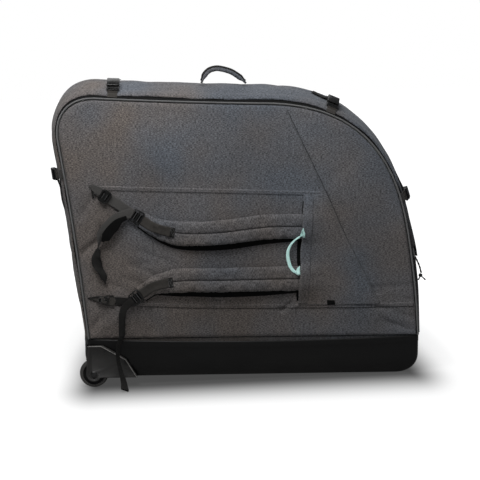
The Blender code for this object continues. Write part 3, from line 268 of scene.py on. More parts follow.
def build_floor():
    """White floor under the wheels and the base's far edge, with a soft shadow painted into its colour round
    the case. Further out it glows more, so that it goes over into the white background."""
    low_wheel = Vector((WHEEL_AXLE[0], 0, WHEEL_AXLE[1] - WHEEL_RADIUS))
    far_edge = Vector((BASE_LENGTH / 2 - TUB_END_RADIUS, 0, 0))
    slope = math.atan2(far_edge.z - low_wheel.z, far_edge.x - low_wheel.x)
    bm = bmesh.new()
    turn = Matrix.Translation(low_wheel) @ Matrix.Rotation(-slope, 4, "Y")
    bmesh.ops.create_grid(bm, x_segments=8, y_segments=8, size=40.0, matrix=turn)
    floor = in_scene("floor", mesh_of("floor", bm))
    material = bpy.data.materials.new("white_floor")
    material.use_nodes = True
    tree = material.node_tree
    tree.nodes.clear()
    across, deep, _ = split(tree, put(tree, "TexCoord").outputs["Object"])
    beyond = (across.by("ABSOLUTE") - (BASE_LENGTH / 2 - 0.02), FRONT - deep, deep - HALF_DEPTH)
    squares = [(gap.by("MAXIMUM", 0.0) / reach).by("POWER", 2.0) for gap, reach in zip(beyond, PAINTED_SHADOW_REACH)]
    away = (squares[0] + squares[1] + squares[2]).by("SQRT")
    # Painted shadow: the floor's colour and glow darken towards the case
    painted_shadow = ranged(tree, away.by("POWER", 0.85), 0.0, 1.0, DARKEST_PAINTED_SHADOW, 1.0, "SMOOTHSTEP")
    far = ranged(tree, away, 0.9, 2.2, 0.80, 1.1, "SMOOTHSTEP")
    rays = put(tree, "LightPath")
    seen_floor = put(tree, "BsdfDiffuse", painted_shadow * 0.28)
    glow = put(tree, "Emission", (1.0, 1.0, 1.0, 1.0), painted_shadow * far)
    lit = put(tree, "AddShader", seen_floor.outputs[0], glow.outputs[0])
    plain = put(tree, "BsdfDiffuse", (0.35, 0.35, 0.35, 1.0))
    seen = put(tree, "MixShader", rays.outputs["Is Camera Ray"], plain.outputs[0], lit.outputs[0])
    put(tree, "OutputMaterial", seen.outputs[0])
    floor.data.materials.append(material)


# Materials


def put(tree, kind, *values, **named):
    """Adds a node. Values go to its inputs in order and capitalised names to the inputs so called, a socket
    as a link; small names are the node's own settings."""
    made = tree.nodes.new(("" if kind.startswith("NodeGroup") else "ShaderNode") + kind)
    for key, value in named.items():
        if key[0].islower():
            setattr(made, key, value)
    sources = dict(enumerate(values))
    sources.update({key.replace("_", " "): value for key, value in named.items() if not key[0].islower()})
    for key, value in sources.items():
        value = getattr(value, "socket", value)
        if isinstance(value, bpy.types.NodeSocket):
            tree.links.new(value, made.inputs[key])
        elif value is not None:
            made.inputs[key].default_value = value
    return made


class Wire:
    """A number in a node tree. A plain sum with it adds the node that works it out."""

    def __init__(self, tree, socket):
        self.tree, self.socket = tree, socket

    def by(self, operation, *others):
        return Wire(self.tree, put(self.tree, "Math", self, *others, operation=operation).outputs[0])

    def __add__(self, other):
        return self.by("ADD", other)

    def __sub__(self, other):
        return self.by("SUBTRACT", other)

    def __rsub__(self, other):
        return self.by("MULTIPLY_ADD", -1.0, other)

    def __mul__(self, other):
        return self.by("MULTIPLY", other)

    def __truediv__(self, other):
        return self.by("DIVIDE", other)


def split(tree, vector):
    return [Wire(tree, socket) for socket in put(tree, "SeparateXYZ", vector).outputs]


def speckle(tree, place, scale, detail, roughness=0.5):
    made = put(tree, "TexNoise", Vector=place, Scale=scale, Detail=detail, Roughness=roughness)
    return Wire(tree, made.outputs[0])


def ranged(tree, value, low, high, least, most, kind="LINEAR"):
    """A value brought from one range to another, and held inside it."""
    made = put(tree, "MapRange", value, low, high, least, most, interpolation_type=kind)
    return Wire(tree, made.outputs[0])


def mixed(tree, share, low, high):
    """A colour between two colours."""
    return put(tree, "Mix", share, *[None] * 5, low, high, data_type="RGBA").outputs[2]


def join(tree, source, target):
    tree.links.new(getattr(source, "socket", source), target)


def new_group(name, inputs, outputs):
    """A node group with named sockets; gives the tree, its inputs and the node that takes its outputs."""
    group = bpy.data.node_groups.new(name, "ShaderNodeTree")
    for label, kind, value in inputs:
        socket = group.interface.new_socket(label, in_out="INPUT", socket_type="NodeSocket" + kind)
        if value is not None:
            socket.default_value = value
    for label, kind in outputs:
        group.interface.new_socket(label, in_out="OUTPUT", socket_type="NodeSocket" + kind)
    return group, group.nodes.new("NodeGroupInput").outputs, group.nodes.new("NodeGroupOutput").inputs


TWO_COLOURS = (("Dark", "Color", None), ("Light", "Color", None))


def weave_group():
    """Plain weave of mixed light and dark yarns, in metres of cloth."""
    tree, given, gives = new_group(
        "heather_weave",
        (("Cloth", "Vector", None), ("Thread", "Float", 0.001), *TWO_COLOURS, ("Contrast", "Float", 1.0)),
        (("Colour", "Color"), ("Height", "Float")),
    )
    across, along, _ = split(tree, given["Cloth"])
    warp, weft = across / given["Thread"], along / given["Thread"]
    warp_yarn, weft_yarn = warp.by("FLOOR"), weft.by("FLOOR")
    over = (warp_yarn + weft_yarn).by("FLOORED_MODULO", 2.0)
    under = 1.0 - over

    def stretched(wide, high, place, detail, roughness=0.5):
        return speckle(tree, put(tree, "CombineXYZ", wide, high, place).outputs[0], 1.0, detail, roughness)

    def streaks(yarn, run, place):
        return stretched(yarn * 3.71, run * 75.0, place, 1.5, 0.6)

    def slubs(wide, high, place):
        return stretched(wide * 640.0, high * 190.0, place, 1.0)

    yarns = streaks(warp_yarn, along, 0.0) * over + streaks(weft_yarn, across, 9.0) * under
    slub = slubs(along, across, 6.0) * 2.2 + slubs(across, along, 3.0) * 0.8
    mottle = speckle(tree, given["Cloth"], 85.0, 3.0, 0.65)
    tone = (yarns * 0.8 + slub + mottle * 0.5 - 2.15) * given["Contrast"] + 0.5
    tone = put(tree, "Clamp", tone, 0.0, 1.0).outputs[0]

    def round_yarn(count, lift):
        return (count.by("FRACT") * math.pi).by("SINE") * (lift * 0.7 + 0.3)

    join(tree, mixed(tree, tone, given["Dark"], given["Light"]), gives["Colour"])
    join(tree, round_yarn(warp, over) + round_yarn(weft, under), gives["Height"])
    return tree


def ribs_group():
    """Herringbone ribs of flat webbing: x across it and y along it, in metres."""
    tree, given, gives = new_group(
        "webbing_ribs",
        (("Cloth", "Vector", None), ("Rib", "Float", 0.0016), *TWO_COLOURS),
        (("Colour", "Color"), ("Height", "Float")),
    )
    across, along, _ = split(tree, given["Cloth"])
    lane = (across / given["Rib"]).by("PINGPONG", 2.0)
    high = ((along / given["Rib"] + lane) * (2 * math.pi)).by("SINE") * 0.5 + 0.5
    tone = high * 0.55 + speckle(tree, given["Cloth"], 90.0, 3.0) * 0.45
    join(tree, mixed(tree, tone, given["Dark"], given["Light"]), gives["Colour"])
    join(tree, high, gives["Height"])
    return tree


def grain_group():
    """Fine pebbled skin of moulded plastic and rubber, with a broad variation for gloss and dust."""
    tree, given, gives = new_group(
        "moulded_grain",
        (("Place", "Vector", None), ("Pebble", "Float", 900.0), ("Patch", "Float", 25.0)),
        (("Height", "Float"), ("Patches", "Float")),
    )
    join(tree, speckle(tree, given["Place"], given["Pebble"], 2.0), gives["Height"])
    patches = speckle(tree, given["Place"], given["Patch"], 4.0, 0.6)
    join(tree, ranged(tree, patches, 0.3, 0.7, 0.0, 1.0), gives["Patches"])
    return tree


def new_material(name, roughness, **sockets):
    """A material with its Principled shader; gives the material, its tree and the shader."""
    material = bpy.data.materials.new(name)
    material.use_nodes = True
    tree = material.node_tree
    shader = tree.nodes["Principled BSDF"]
    shader.inputs["Roughness"].default_value = roughness
    for key, value in sockets.items():
        shader.inputs[key.replace("_", " ")].default_value = value
    return material, tree, shader


def bumped(tree, shader, height, strength, distance):
    bump = put(tree, "Bump", Height=height, Strength=strength, Distance=distance)
    join(tree, bump.outputs[0], shader.inputs["Normal"])


def grey(level, warmth=0.0):
    """A grey in linear light, leaning to brown above zero warmth and to blue below it."""
    return (level * (1 + warmth), level, level * (1 - warmth), 1.0)


# Dye of the heather cloth, from warm low at the wheels to cool at the top and the nose
WARM_DYE = (1.13, 0.97, 0.88, 1.0)
COOL_DYE = (0.90, 0.99, 1.15, 1.0)


def heather_material(name, dark, light, contrast=1.3, thread=0.0010, warmth=0.0):
    """Heather polyester, whose dye changes slowly over the case."""
    material, tree, shader = new_material(
        name, 0.86, Sheen_Weight=0.12, Sheen_Roughness=0.5, Specular_IOR_Level=0.3
    )
    cloth = put(tree, "UVMap", uv_map="cloth").outputs[0]
    weave = put(
        tree, "Group", node_tree=WEAVE, Cloth=cloth, Thread=thread, Dark=grey(dark, warmth),
        Light=grey(light, warmth), Contrast=contrast,
    )
    place = put(tree, "TexCoord").outputs["Object"]
    across, _, high = split(tree, place)
    run = speckle(tree, place, 6.5, 1.0) * 2.4 + (across * 0.8 + (high * 0.95 - 1.08))
    tint = mixed(tree, put(tree, "Clamp", run, 0.0, 1.0).outputs[0], WARM_DYE, COOL_DYE)
    depth = ranged(tree, speckle(tree, place, 4.2, 2.0), 0.32, 0.68, 0.88, 1.12)
    dyed = put(tree, "VectorMath", weave.outputs["Colour"], tint, operation="MULTIPLY").outputs[0]
    dyed = put(tree, "VectorMath", dyed, Scale=depth, operation="SCALE").outputs[0]
    join(tree, dyed, shader.inputs["Base Color"])
    bumped(tree, shader, weave.outputs["Height"], 0.5, 0.0003)
    return material


def webbing_material(name, dark, light, rib=0.0016, roughness=0.75, sheen=0.1, specular=0.3):
    material, tree, shader = new_material(name, roughness, Sheen_Weight=sheen, Specular_IOR_Level=specular)
    cloth = put(tree, "UVMap", uv_map="cloth").outputs[0]
    ribs = put(tree, "Group", node_tree=RIBS, Cloth=cloth, Rib=rib, Dark=dark, Light=light)
    join(tree, ribs.outputs["Colour"], shader.inputs["Base Color"])
    bumped(tree, shader, ribs.outputs["Height"], 0.6, 0.0004)
    return material


def moulded_material(name, colour, worn, roughness, pebble=900.0, depth=0.00015, **sockets):
    material, tree, shader = new_material(name, roughness, **sockets)
    place = put(tree, "TexCoord").outputs["Object"]
    grain = put(tree, "Group", node_tree=GRAIN, Place=place, Pebble=pebble)
    patches = Wire(tree, grain.outputs["Patches"])
    join(tree, mixed(tree, patches, colour, worn), shader.inputs["Base Color"])
    join(tree, patches * 0.14 + (roughness - 0.07), shader.inputs["Roughness"])
    bumped(tree, shader, grain.outputs["Height"], 0.5, depth)
    return material


def tarpaulin_material(name):
    """Smooth coated cloth: its scrim shows faintly through the coating, and dust lies low on it."""
    material, tree, shader = new_material(name, 0.50, Specular_IOR_Level=0.22)
    place = put(tree, "TexCoord").outputs["Object"]
    grain = put(tree, "Group", node_tree=GRAIN, Place=place, Pebble=350.0, Patch=9.0)
    patches = Wire(tree, grain.outputs["Patches"])
    across, deep, high = split(tree, place)
    dust = ranged(tree, high, 0.0, 0.07, 0.5, 0.0) * patches
    join(tree, mixed(tree, dust, grey(0.0040), grey(0.011, 0.06)), shader.inputs["Base Color"])
    threads = [(run * (2 * math.pi / 0.0014)).by("SINE") for run in (across, deep, high)]
    height = (threads[0] + threads[1] + threads[2]) * 0.25 + grain.outputs["Height"]
    join(tree, patches * 0.10 + 0.45, shader.inputs["Roughness"])
    bumped(tree, shader, height, 0.35, 0.0002)
    return material


WEAVE = weave_group()
RIBS = ribs_group()
GRAIN = grain_group()

HEATHER = heather_material("heather_cloth", 0.040, 0.150, 1.35)
HEATHER_STRAP = heather_material("heather_strap_cloth", 0.040, 0.140, 1.6, 0.0011)
LINING = heather_material("black_lining", 0.012, 0.022, 0.8, 0.0008)
TARPAULIN = tarpaulin_material("black_coated_cloth")
# Skirt heather darkened to paint the shade on the strip above the base
SKIRT_PAINTED_SHADE = heather_material("skirt_cloth_painted_shade", 0.016, 0.062)
HOOD = heather_material("hood_cloth", 0.010, 0.040, 1.2, 0.0010, -0.05)
# Near-black zip tape: black tape, darkened further to paint the shade under the gusset's flap
TAPE_IN_PAINTED_SHADE = webbing_material("zip_tape_painted_shade", grey(0.005), grey(0.012), 0.0010, 0.85, 0.0, 0.12)
# Piping cloth, lighter than the panel: partly its own grey, partly a painted highlight
PIPING_WITH_PAINTED_HIGHLIGHT = webbing_material("piping_cloth_painted_highlight", grey(0.075), grey(0.165), 0.0011, 0.42)
WEBBING = webbing_material("dark_webbing", grey(0.005, 0.05), grey(0.018, 0.05), 0.0016, 0.75, 0.02, 0.15)
GREY_WEBBING = webbing_material("grey_webbing", grey(0.036), grey(0.085))
PATCH = webbing_material("strap_patch_webbing", grey(0.017, 0.13), grey(0.040, 0.13), 0.0013)
STRAP_FACE = webbing_material("strap_face_webbing", grey(0.034, 0.05), grey(0.070, 0.05), 0.0014)
# Near-black cloth for a black tab, the webbing inside the locks and the pads' black backs, and painted shade
# in the seams, in the pocket's mouth, under the pads and inside the upper tail's bend
BLACK_CLOTH_AND_PAINTED_SHADE = webbing_material("black_cloth_and_painted_shade", grey(0.003), grey(0.007), 0.0010, 0.95, 0.0, 0.08)
HEM = heather_material("hem_cloth", 0.039, 0.146, 1.35, 0.0010, -0.02)
MINT = webbing_material("mint_webbing", (0.42, 0.86, 0.78, 1.0), (0.80, 1.0, 0.97, 1.0), 0.0011, 0.5)
CORD = webbing_material("braided_cord", grey(0.004), grey(0.013), 0.0012)
THREAD = webbing_material("sewing_thread", grey(0.085), grey(0.170), 0.0006)
PLASTIC = moulded_material("black_plastic", grey(0.0035), grey(0.009), 0.30, Specular_IOR_Level=0.40)
# Light grey plastic for the ribs on the locks and hooks: a painted highlight
RIB_PAINTED_HIGHLIGHT = moulded_material("painted_highlight_plastic", grey(0.045), grey(0.090), 0.36)
# Light grey for the line along the housing's top edge: a painted highlight
EDGE_PAINTED_HIGHLIGHT = moulded_material("painted_highlight_edge", grey(0.13, 0.04), grey(0.25, 0.04), 0.34, 1100.0)
HOUSING = moulded_material("grey_plastic", grey(0.015, 0.05), grey(0.024, 0.05), 0.50, 1100.0, 0.0003)
BOARD = moulded_material("board_plastic", grey(0.050), grey(0.065), 0.55, 500.0, 0.0002)
TYRE = moulded_material("wheel_rubber", grey(0.024, 0.04), grey(0.050, 0.06), 0.52, 600.0)
# Near-black hub: its own black plastic, and painted shade in the gap round the tyre's seat
HUB_WITH_PAINTED_SHADE = moulded_material("hub_plastic_painted_shade", grey(0.003), grey(0.006), 0.55, Specular_IOR_Level=0.15)
METAL_GRAIN = {"pebble": 1500.0, "depth": 0.00005, "Metallic": 1.0}
STEEL = moulded_material("brushed_steel", grey(0.40), grey(0.52), 0.34, **METAL_GRAIN)
BLACK_STEEL = moulded_material("blackened_steel", grey(0.045), grey(0.080), 0.42, **METAL_GRAIN)


# Making meshes


def mapped(across, along, place):
    """A grid put in place by place(u, v), which gives a point and its spot on the flat cloth in metres."""
    bm = bmesh.new()
    bmesh.ops.create_grid(bm, x_segments=across, y_segments=along, size=0.5)
    cloth = bm.loops.layers.uv.new("cloth")
    for vert in bm.verts:
        point, flat = place(vert.co.x + 0.5, vert.co.y + 0.5)
        for loop in vert.link_loops:
            loop[cloth].uv = flat
        vert.co = point
    bmesh.ops.remove_doubles(bm, verts=bm.verts, dist=0.00002)
    bmesh.ops.dissolve_degenerate(bm, edges=bm.edges, dist=0.000001)
    return bm


def face_away(bm, inside):
    """Turns an open shell's faces away from a point inside it."""
    bmesh.ops.recalc_face_normals(bm, faces=bm.faces)
    outward = sum(f.normal.dot(f.calc_center_median() - inside) * f.calc_area() for f in bm.faces)
    if outward < 0:
        bmesh.ops.reverse_faces(bm, faces=bm.faces)
    return bm


def add_piece(name, bm, material, body, slot, stands_for=(), wall=0.0, sharp=40):
    """Puts a finished mesh in the scene as a piece on one CAD body."""
    mesh = mesh_of(name, bm)
    mesh.materials.append(material)
    mesh.shade_smooth()
    mesh.set_sharp_from_angle(angle=math.radians(sharp))
    obj = in_scene(name, mesh)
    if wall:
        solidify = obj.modifiers.new("thickness", "SOLIDIFY")
        solidify.thickness = wall
        solidify.offset = -1
        solidify.use_even_offset = False
    if stands_for:
        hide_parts(*stands_for)
    if body:
        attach(obj, body)
    return obj


def add_sheet(name, across, along, place, material, body, slot, stands_for=(), wall=0.0, sharp=40,
              inside=HEART):
    """A piece that is a grid put in place by place(u, v), facing away from the inside of the case."""
    bm = face_away(mapped(across, along, place), inside)
    return add_piece(name, bm, material, body, slot, stands_for, wall, sharp)


def add_swept(name, path, section, around, material, body, slot, outs=None, sides=None, stands_for=()):
    """A piece drawn along a path."""
    bm = swept(path, section, around, outs, sides)
    return add_piece(name, bm, material, body, slot, stands_for, sharp=60)


def capped(bm):
    """Closes the open ends of a tube and faces it outwards."""
    bmesh.ops.holes_fill(bm, edges=[e for e in bm.edges if e.is_boundary])
    bmesh.ops.recalc_face_normals(bm, faces=bm.faces)
    return bm


def heading(path, i):
    """The direction of a line at its point i."""
    return (path[min(i + 1, len(path) - 1)] - path[max(i - 1, 0)]).normalized()


def sideways(path, i):
    """The direction square to a flat line at its point i."""
    along = heading(path, i)
    return Vector((-along.y, along.x))


def smoothed(values, times):
    """The same row of points or numbers, evened out with its ends held."""
    for _ in range(times):
        inner = ((a + b * 2 + c) / 4 for a, b, c in zip(values, values[1:], values[2:]))
        values = [values[0], *inner, values[-1]]
    return values


def axes(x, y, z):
    """A turn whose local X, Y and Z point along the given directions."""
    return Matrix((x, y, z)).transposed().to_4x4()


def lengths_along(path):
    found = [0.0]
    for a, b in zip(path, path[1:]):
        found.append(found[-1] + (b - a).length)
    return found


def smooth_path(points, steps):
    """Points at even steps along a smooth curve through the given ones."""
    found = []
    for i in range(len(points) - 1):
        a, b = points[i], points[i + 1]
        before = points[i - 1] if i else a - (b - a)
        after = points[i + 2] if i + 2 < len(points) else b + (b - a)
        found += geometry.interpolate_bezier(a, a + (b - before) / 6, b - (after - a) / 6, b, 13)[:-1]
    found.append(points[-1])
    return even_path(found, steps)


def even_path(points, steps):
    """The same line with its points at even steps."""
    lengths = lengths_along(points)
    even = []
    for i in range(steps + 1):
        wanted = lengths[-1] * i / steps
        k = min(max(bisect_right(lengths, wanted) - 1, 0), len(points) - 2)
        share = (wanted - lengths[k]) / max(lengths[k + 1] - lengths[k], 1e-9)
        even.append(points[k].lerp(points[k + 1], share))
    return even


def swept(path, section, around, outs=None, sides=None):
    """A closed solid drawn along a path. section(share, angle) gives the offsets across and outwards; outs
    or sides is the direction that outwards or across follows, one for all or one a point."""
    steps = len(path) - 1
    lengths = lengths_along(path)
    frames = []
    for i in range(steps + 1):
        along = heading(path, i)
        if sides is not None:
            side = sides[i] if isinstance(sides, list) else sides
            side = (side - along * side.dot(along)).normalized()
        else:
            side = along.cross(outs[i] if isinstance(outs, list) else outs).normalized()
        frames.append((side, side.cross(along)))

    def place(u, v):
        i = round(v * steps)
        across, out = section(v, u * 2 * math.pi)
        side, up = frames[i]
        return path[i] + side * across + up * out, (across + (0.0 if out > 0 else 0.05), lengths[i])

    return capped(mapped(around, steps, place))


def flat_section(width, thickness):
    """Section of flat webbing with soft edges."""

    def section(_, angle):
        across = signed_power(math.cos(angle), 0.35) * width / 2
        return across, signed_power(math.sin(angle), 0.6) * thickness / 2

    return section


def round_section(radius):
    return lambda _, angle: (math.cos(angle) * radius, math.sin(angle) * radius)


def webbing(name, path, material, body, outs=None, sides=None, stands_for=(), width=STRAP_WIDTH,
            thickness=STRAP_THICKNESS):
    section = flat_section(width, thickness)
    return add_swept(name, path, section, 16, material, body, "webbing", outs, sides, stands_for)


HARD_EDGE = math.radians(30)


def softened(node, width, material, slot):
    """A CAD node's own shape with its hard edges rounded."""
    source = frame["nodes"][node]
    bm = bmesh.new()
    bm.from_mesh(source.data)
    bmesh.ops.remove_doubles(bm, verts=bm.verts, dist=0.00001)
    bmesh.ops.dissolve_limit(bm, angle_limit=math.radians(1), verts=bm.verts, edges=bm.edges)
    hard = [e for e in bm.edges if e.is_manifold and e.calc_face_angle() > HARD_EDGE]
    bmesh.ops.bevel(
        bm, geom=hard, offset=width, offset_type="OFFSET", segments=2, profile=0.5, affect="EDGES",
        clamp_overlap=True, material=-1,
    )
    return add_piece("soft_" + node, bm, material, source["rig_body"], slot, (node,), sharp=35)


def baked(obj):
    """Applies an object's modifiers, so that what cut it can be thrown away."""
    graph = bpy.context.evaluated_depsgraph_get()
    mesh = bpy.data.meshes.new_from_object(obj.evaluated_get(graph))
    obj.modifiers.clear()
    obj.data = mesh
    return obj


def sew(name, path, out, body, pitch=0.0046, length=0.0032, radius=0.00042, lift=0.0002):
    """A row of stitches along a path, each a small bead of thread."""
    count = max(int(lengths_along(path)[-1] / pitch), 1)
    spots = even_path(path, count)
    bm = bmesh.new()
    for i, spot in enumerate(spots):
        along = heading(spots, i)
        side = along.cross(out).normalized()
        turn = axes(along, side, side.cross(along))
        size = Matrix.Diagonal((length / 2, radius, radius, 1.0))
        place = Matrix.Translation(spot + out * lift)
        bmesh.ops.create_icosphere(bm, subdivisions=1, radius=1.0, matrix=place @ turn @ size)
    bm.loops.layers.uv.new("cloth")
    return add_piece(name, bm, THREAD, body, "webbing")


# The seam's outline, and places on the gusset and the panels


def bowed(start, end, bow):
    """Bezier handles of a nearly straight run that bows sideways by the given amount."""
    along = end - start
    side = Vector((-along.y, along.x)).normalized() * bow * 4 / 3
    return start + along / 3 + side, end - along / 3 + side


def seam_line(steps):
    """The front seam from its left foot over the top to its right foot, as (x, z) points."""
    left_foot = Vector((-BASE_LENGTH / 2, BASE_HEIGHT))
    right_foot = Vector((BASE_LENGTH / 2, BASE_HEIGHT))
    shoulder = Vector((left_foot.x - LEAN_LEFT, SHOULDER_HEIGHT))
    top_left = Vector((shoulder.x + CORNER_RUN, SEAM_HEIGHT))
    top_right = Vector((right_foot.x - NOSE_RUN, SEAM_HEIGHT - TOP_FALL))
    nose = Vector((right_foot.x - LEAN_RIGHT, NOSE_HEIGHT))
    left = bowed(left_foot, shoulder, LEFT_BOW)
    top = bowed(top_left, top_right, TOP_SAG)
    right = bowed(nose, right_foot, RIGHT_BOW)
    corner = (
        shoulder + (shoulder - left[1]).normalized() * CORNER_EASE,
        top_left + (top_left - top[0]).normalized() * CORNER_EASE,
    )
    round_nose = (
        top_right + (top_right - top[1]).normalized() * NOSE_EASE_TOP,
        nose + (nose - right[0]).normalized() * NOSE_EASE_SIDE,
    )
    spans = (
        (left_foot, left, shoulder),
        (shoulder, corner, top_left),
        (top_left, top, top_right),
        (top_right, round_nose, nose),
        (nose, right, right_foot),
    )
    points = []
    for start, handles, end in spans:
        points += geometry.interpolate_bezier(start, *handles, end, 60)[: -1 if end != right_foot else None]
    return even_path([Vector(point[:2]) for point in points], steps)


def outward(points):
    """Unit normals of the seam that point away from the case; level at its two feet."""
    normals = []
    for i in range(1, len(points) - 1):
        along = points[i + 1] - points[i - 1]
        normals.append(Vector((-along.y, along.x)).normalized())
    return [Vector((-1.0, 0.0)), *normals, Vector((1.0, 0.0))]


SEAM_STEPS = 360
FOOT_STEPS = 130
SEAM = seam_line(SEAM_STEPS)
SEAM_NORMAL = outward(SEAM)
SEAM_DISTANCE = lengths_along(SEAM)
SEAM_LENGTH = SEAM_DISTANCE[-1]


def seam_at(distance):
    """(point, normal) on the seam, at a distance along it from the left foot."""
    i = min(max(bisect_right(SEAM_DISTANCE, distance) - 1, 0), len(SEAM) - 2)
    share = (distance - SEAM_DISTANCE[i]) / (SEAM_DISTANCE[i + 1] - SEAM_DISTANCE[i])
    return SEAM[i].lerp(SEAM[i + 1], share), SEAM_NORMAL[i].lerp(SEAM_NORMAL[i + 1], share).normalized()


def crown_at(point, normal):
    """How far the gusset's middle stands out of the seam's outline."""
    rise = smooth_step((point.y - BASE_HEIGHT) / CROWN_RISE)
    side = CROWN_FOOT + (CROWN_SIDE - CROWN_FOOT) * rise
    return side + (CROWN_TOP - CROWN_SIDE) * max(normal.y, 0.0) ** 3


def over_gusset(point, normal, y, lift=0.0):
    """A place on the gusset, across from a point of the seam at depth y, lifted square off its slope."""
    crown = crown_at(point, normal)
    slope = 2 * crown * y / HALF_DEPTH**2
    out = point + normal * (crown * (1 - (y / HALF_DEPTH) ** 2) + lift * math.sqrt(1 + slope**2))
    return Vector((out.x, y, out.y))


def gusset_out(point, normal, y):
    """The direction square off the gusset."""
    slope = 2 * crown_at(point, normal) * y / HALF_DEPTH**2
    return Vector((normal.x, slope, normal.y)).normalized()


def on_gusset(tree, point, normal, y, lift):
    """A place on the gusset's finished cloth, lifted off it."""
    out, base = gusset_out(point, normal, y), over_gusset(point, normal, y)
    return (tree.ray_cast(base + out * 0.03, -out)[0] or base) + out * lift


def panel_loop(inset):
    """The seam's outline moved inwards, and closed along the top of the base."""
    foot = BASE_HEIGHT + FIT
    loop = [p - n * inset for p, n in zip(SEAM, SEAM_NORMAL)]
    loop = [Vector((p.x, max(p.y, foot))) for p in loop]
    left, right = loop[0], loop[-1]
    left.y = right.y = foot
    return loop + [right.lerp(left, i / FOOT_STEPS) for i in range(1, FOOT_STEPS)]


def creased(creases, a, b):
    """Depth of the creases at a place, each fading out towards its ends."""
    depth = 0.0
    for a0, b0, a1, b1, deep, wide in creases:
        along = Vector((a1 - a0, b1 - b0))
        share = ((a - a0) * along.x + (b - b0) * along.y) / along.length_squared
        if not -0.1 < share < 1.1:
            continue
        near = min(max(share, 0.0), 1.0)
        away = math.hypot(a - a0 - along.x * near, b - b0 - along.y * near) / wide
        if away < 3:
            depth += deep * math.exp(-away * away) * (1 - abs(2 * near - 1) ** 3)
    return depth


def hit_from_front(tree, x, z, lift=0.0):
    """The first point of a mesh behind (x, z), looking from the front, or else its nearest point."""
    hit = tree.ray_cast(Vector((x, -1.0, z)), -OUT)[0] or tree.find_nearest(Vector((x, FRONT, z)))[0]
    return hit + OUT * lift


def surface_of(name):
    """A tree of rays over a CAD node or a finished piece, to lay other pieces on."""
    bm = bmesh.new()
    bm.from_mesh((frame["nodes"].get(name) or bpy.data.objects[name]).data)
    found = BVHTree.FromBMesh(bm)
    bm.free()
    return found


CAD_PANEL = surface_of("front_panel")


def on_front(x, z, lift=0.0):
    """A place on the front panel's plain crown, lifted off it."""
    return hit_from_front(CAD_PANEL, x, z, lift)


# Padded panels, gusset and piping

# The padding just inside the piping: its roll, and the groove that the seam draws
ROLL_HEIGHT = 0.0045
GROOVE_DEPTH = 0.0032
GROOVE_WIDTH = 0.0022
PADDING_WAVE = 0.0012

# Creases in millimetres: where each starts and ends as x and z, its depth and its width
FRONT_CREASES = metres((
    (-470, 318, -405, 372, -7, 8), (-462, 285, -430, 345, -2.2, 8), (-395, 175, -440, 115, -4.5, 9),
    (-278, 195, -262, 108, -6, 11), (-316, 185, -300, 112, -3.5, 9), (-180, 225, -80, 214, -2, 10),
    (-330, 345, -250, 330, -1.5, 12), (-350, 300, -250, 312, -1.8, 12), (60, 172, 100, 205, -6.5, 5),
    (-420, 330, -395, 420, -4.5, 7), (-455, 420, -410, 500, -4.5, 9), (-440, 350, -420, 470, -3, 6),
    (-345, 272, -262, 238, -2.5, 6), (-330, 304, -235, 268, -2, 6), (-300, 338, -210, 306, -1.8, 7),
    (-400, 262, -340, 238, -2.8, 6), (-375, 345, -330, 385, -2.2, 7), (108, 150, 110, 190, -2, 5),
    (236, 203, 246, 207, -11, 7.5), (150, 203, 240, 205, -2.2, 5), (245, 212, 345, 228, -3, 6),
    (250, 236, 420, 240, -2.2, 7), (250, 200, 380, 176, -2.5, 6), (330, 150, 430, 118, -3.5, 7),
    (370, 172, 432, 150, -2.5, 7), (385, 205, 434, 198, -2, 6), (170, 290, 230, 280, -1.5, 10),
    (140, 480, 300, 610, -1.2, 15),
))
BACK_CREASES = metres((
    (-440, 160, -340, 135, -3, 9), (320, 150, 430, 125, -3, 9), (-300, 180, -120, 168, -2, 9),
    (80, 330, 260, 300, -1.5, 14), (-460, 560, -360, 640, -2, 12),
))


def panel_depth(share):
    """Depth of a panel's crown, at a share of the way from its middle to its edge."""
    return HALF_DEPTH + PANEL_BULGE * (1 - max(share, FLAT_SHARE) ** 4)


def padded_panel(side, creases):
    """A crowned, padded panel inside its piping, drawn in at the seam and creased along the listed creases.
    """
    loop = panel_loop(PIPING_RADIUS + FIT)
    count = len(loop)
    reach = [(p - PANEL_CENTRE).length for p in loop]

    def place(u, v):
        i = round(u * count) % count
        share = 1 - v
        x, z = PANEL_CENTRE + (loop[i] - PANEL_CENTRE) * share
        depth = panel_depth(share)
        inset = (1 - share) * reach[i]
        roll = ROLL_HEIGHT * (1 - math.exp(-inset / 0.006)) * math.exp(-inset / 0.030)
        swell = wobble(x * 6.5, side * 3.1, z * 6.5) + 0.5 * wobble(x * 17, side, z * 17)
        pucker = wobble(u * 260, side * 2, 0) * math.exp(-inset / 0.014) * min(inset / 0.004, 1.0)
        fade = smooth_step(inset / 0.05)
        groove = GROOVE_DEPTH * math.exp(-((inset / GROOVE_WIDTH) ** 2))
        depth += roll - groove + PADDING_WAVE * (fade * (swell - 1) + pucker)
        if z > BASE_HEIGHT + 0.004:
            depth += creased(creases, x, z) * min(inset / 0.012, 1.0)
        return Vector((x, side * depth, z)), (x * side, z)

    return face_away(mapped(count, 88, place), HEART)


def build_panels():
    bm = padded_panel(-1, FRONT_CREASES)
    tree = BVHTree.FromBMesh(bm)
    for side, bm, body in (("front", bm, "lid"), ("back", padded_panel(1, BACK_CREASES), "case")):
        stands_for = (side + "_panel",)
        panel = add_piece(side + "_panel_cloth", bm, HEATHER, body, "heather_fabric", stands_for, PANEL_SKIN)
    return tree


def zip_band():
    """Depths where the lid's tape, the case's tape and the gusset begin and end."""
    lid_start = FRONT + PIPING_RADIUS + FIT
    lid_end = lid_start + TAPE_WIDTH
    case_start = lid_end + TAPE_GAP
    return lid_start, lid_end, case_start, case_start + TAPE_WIDTH


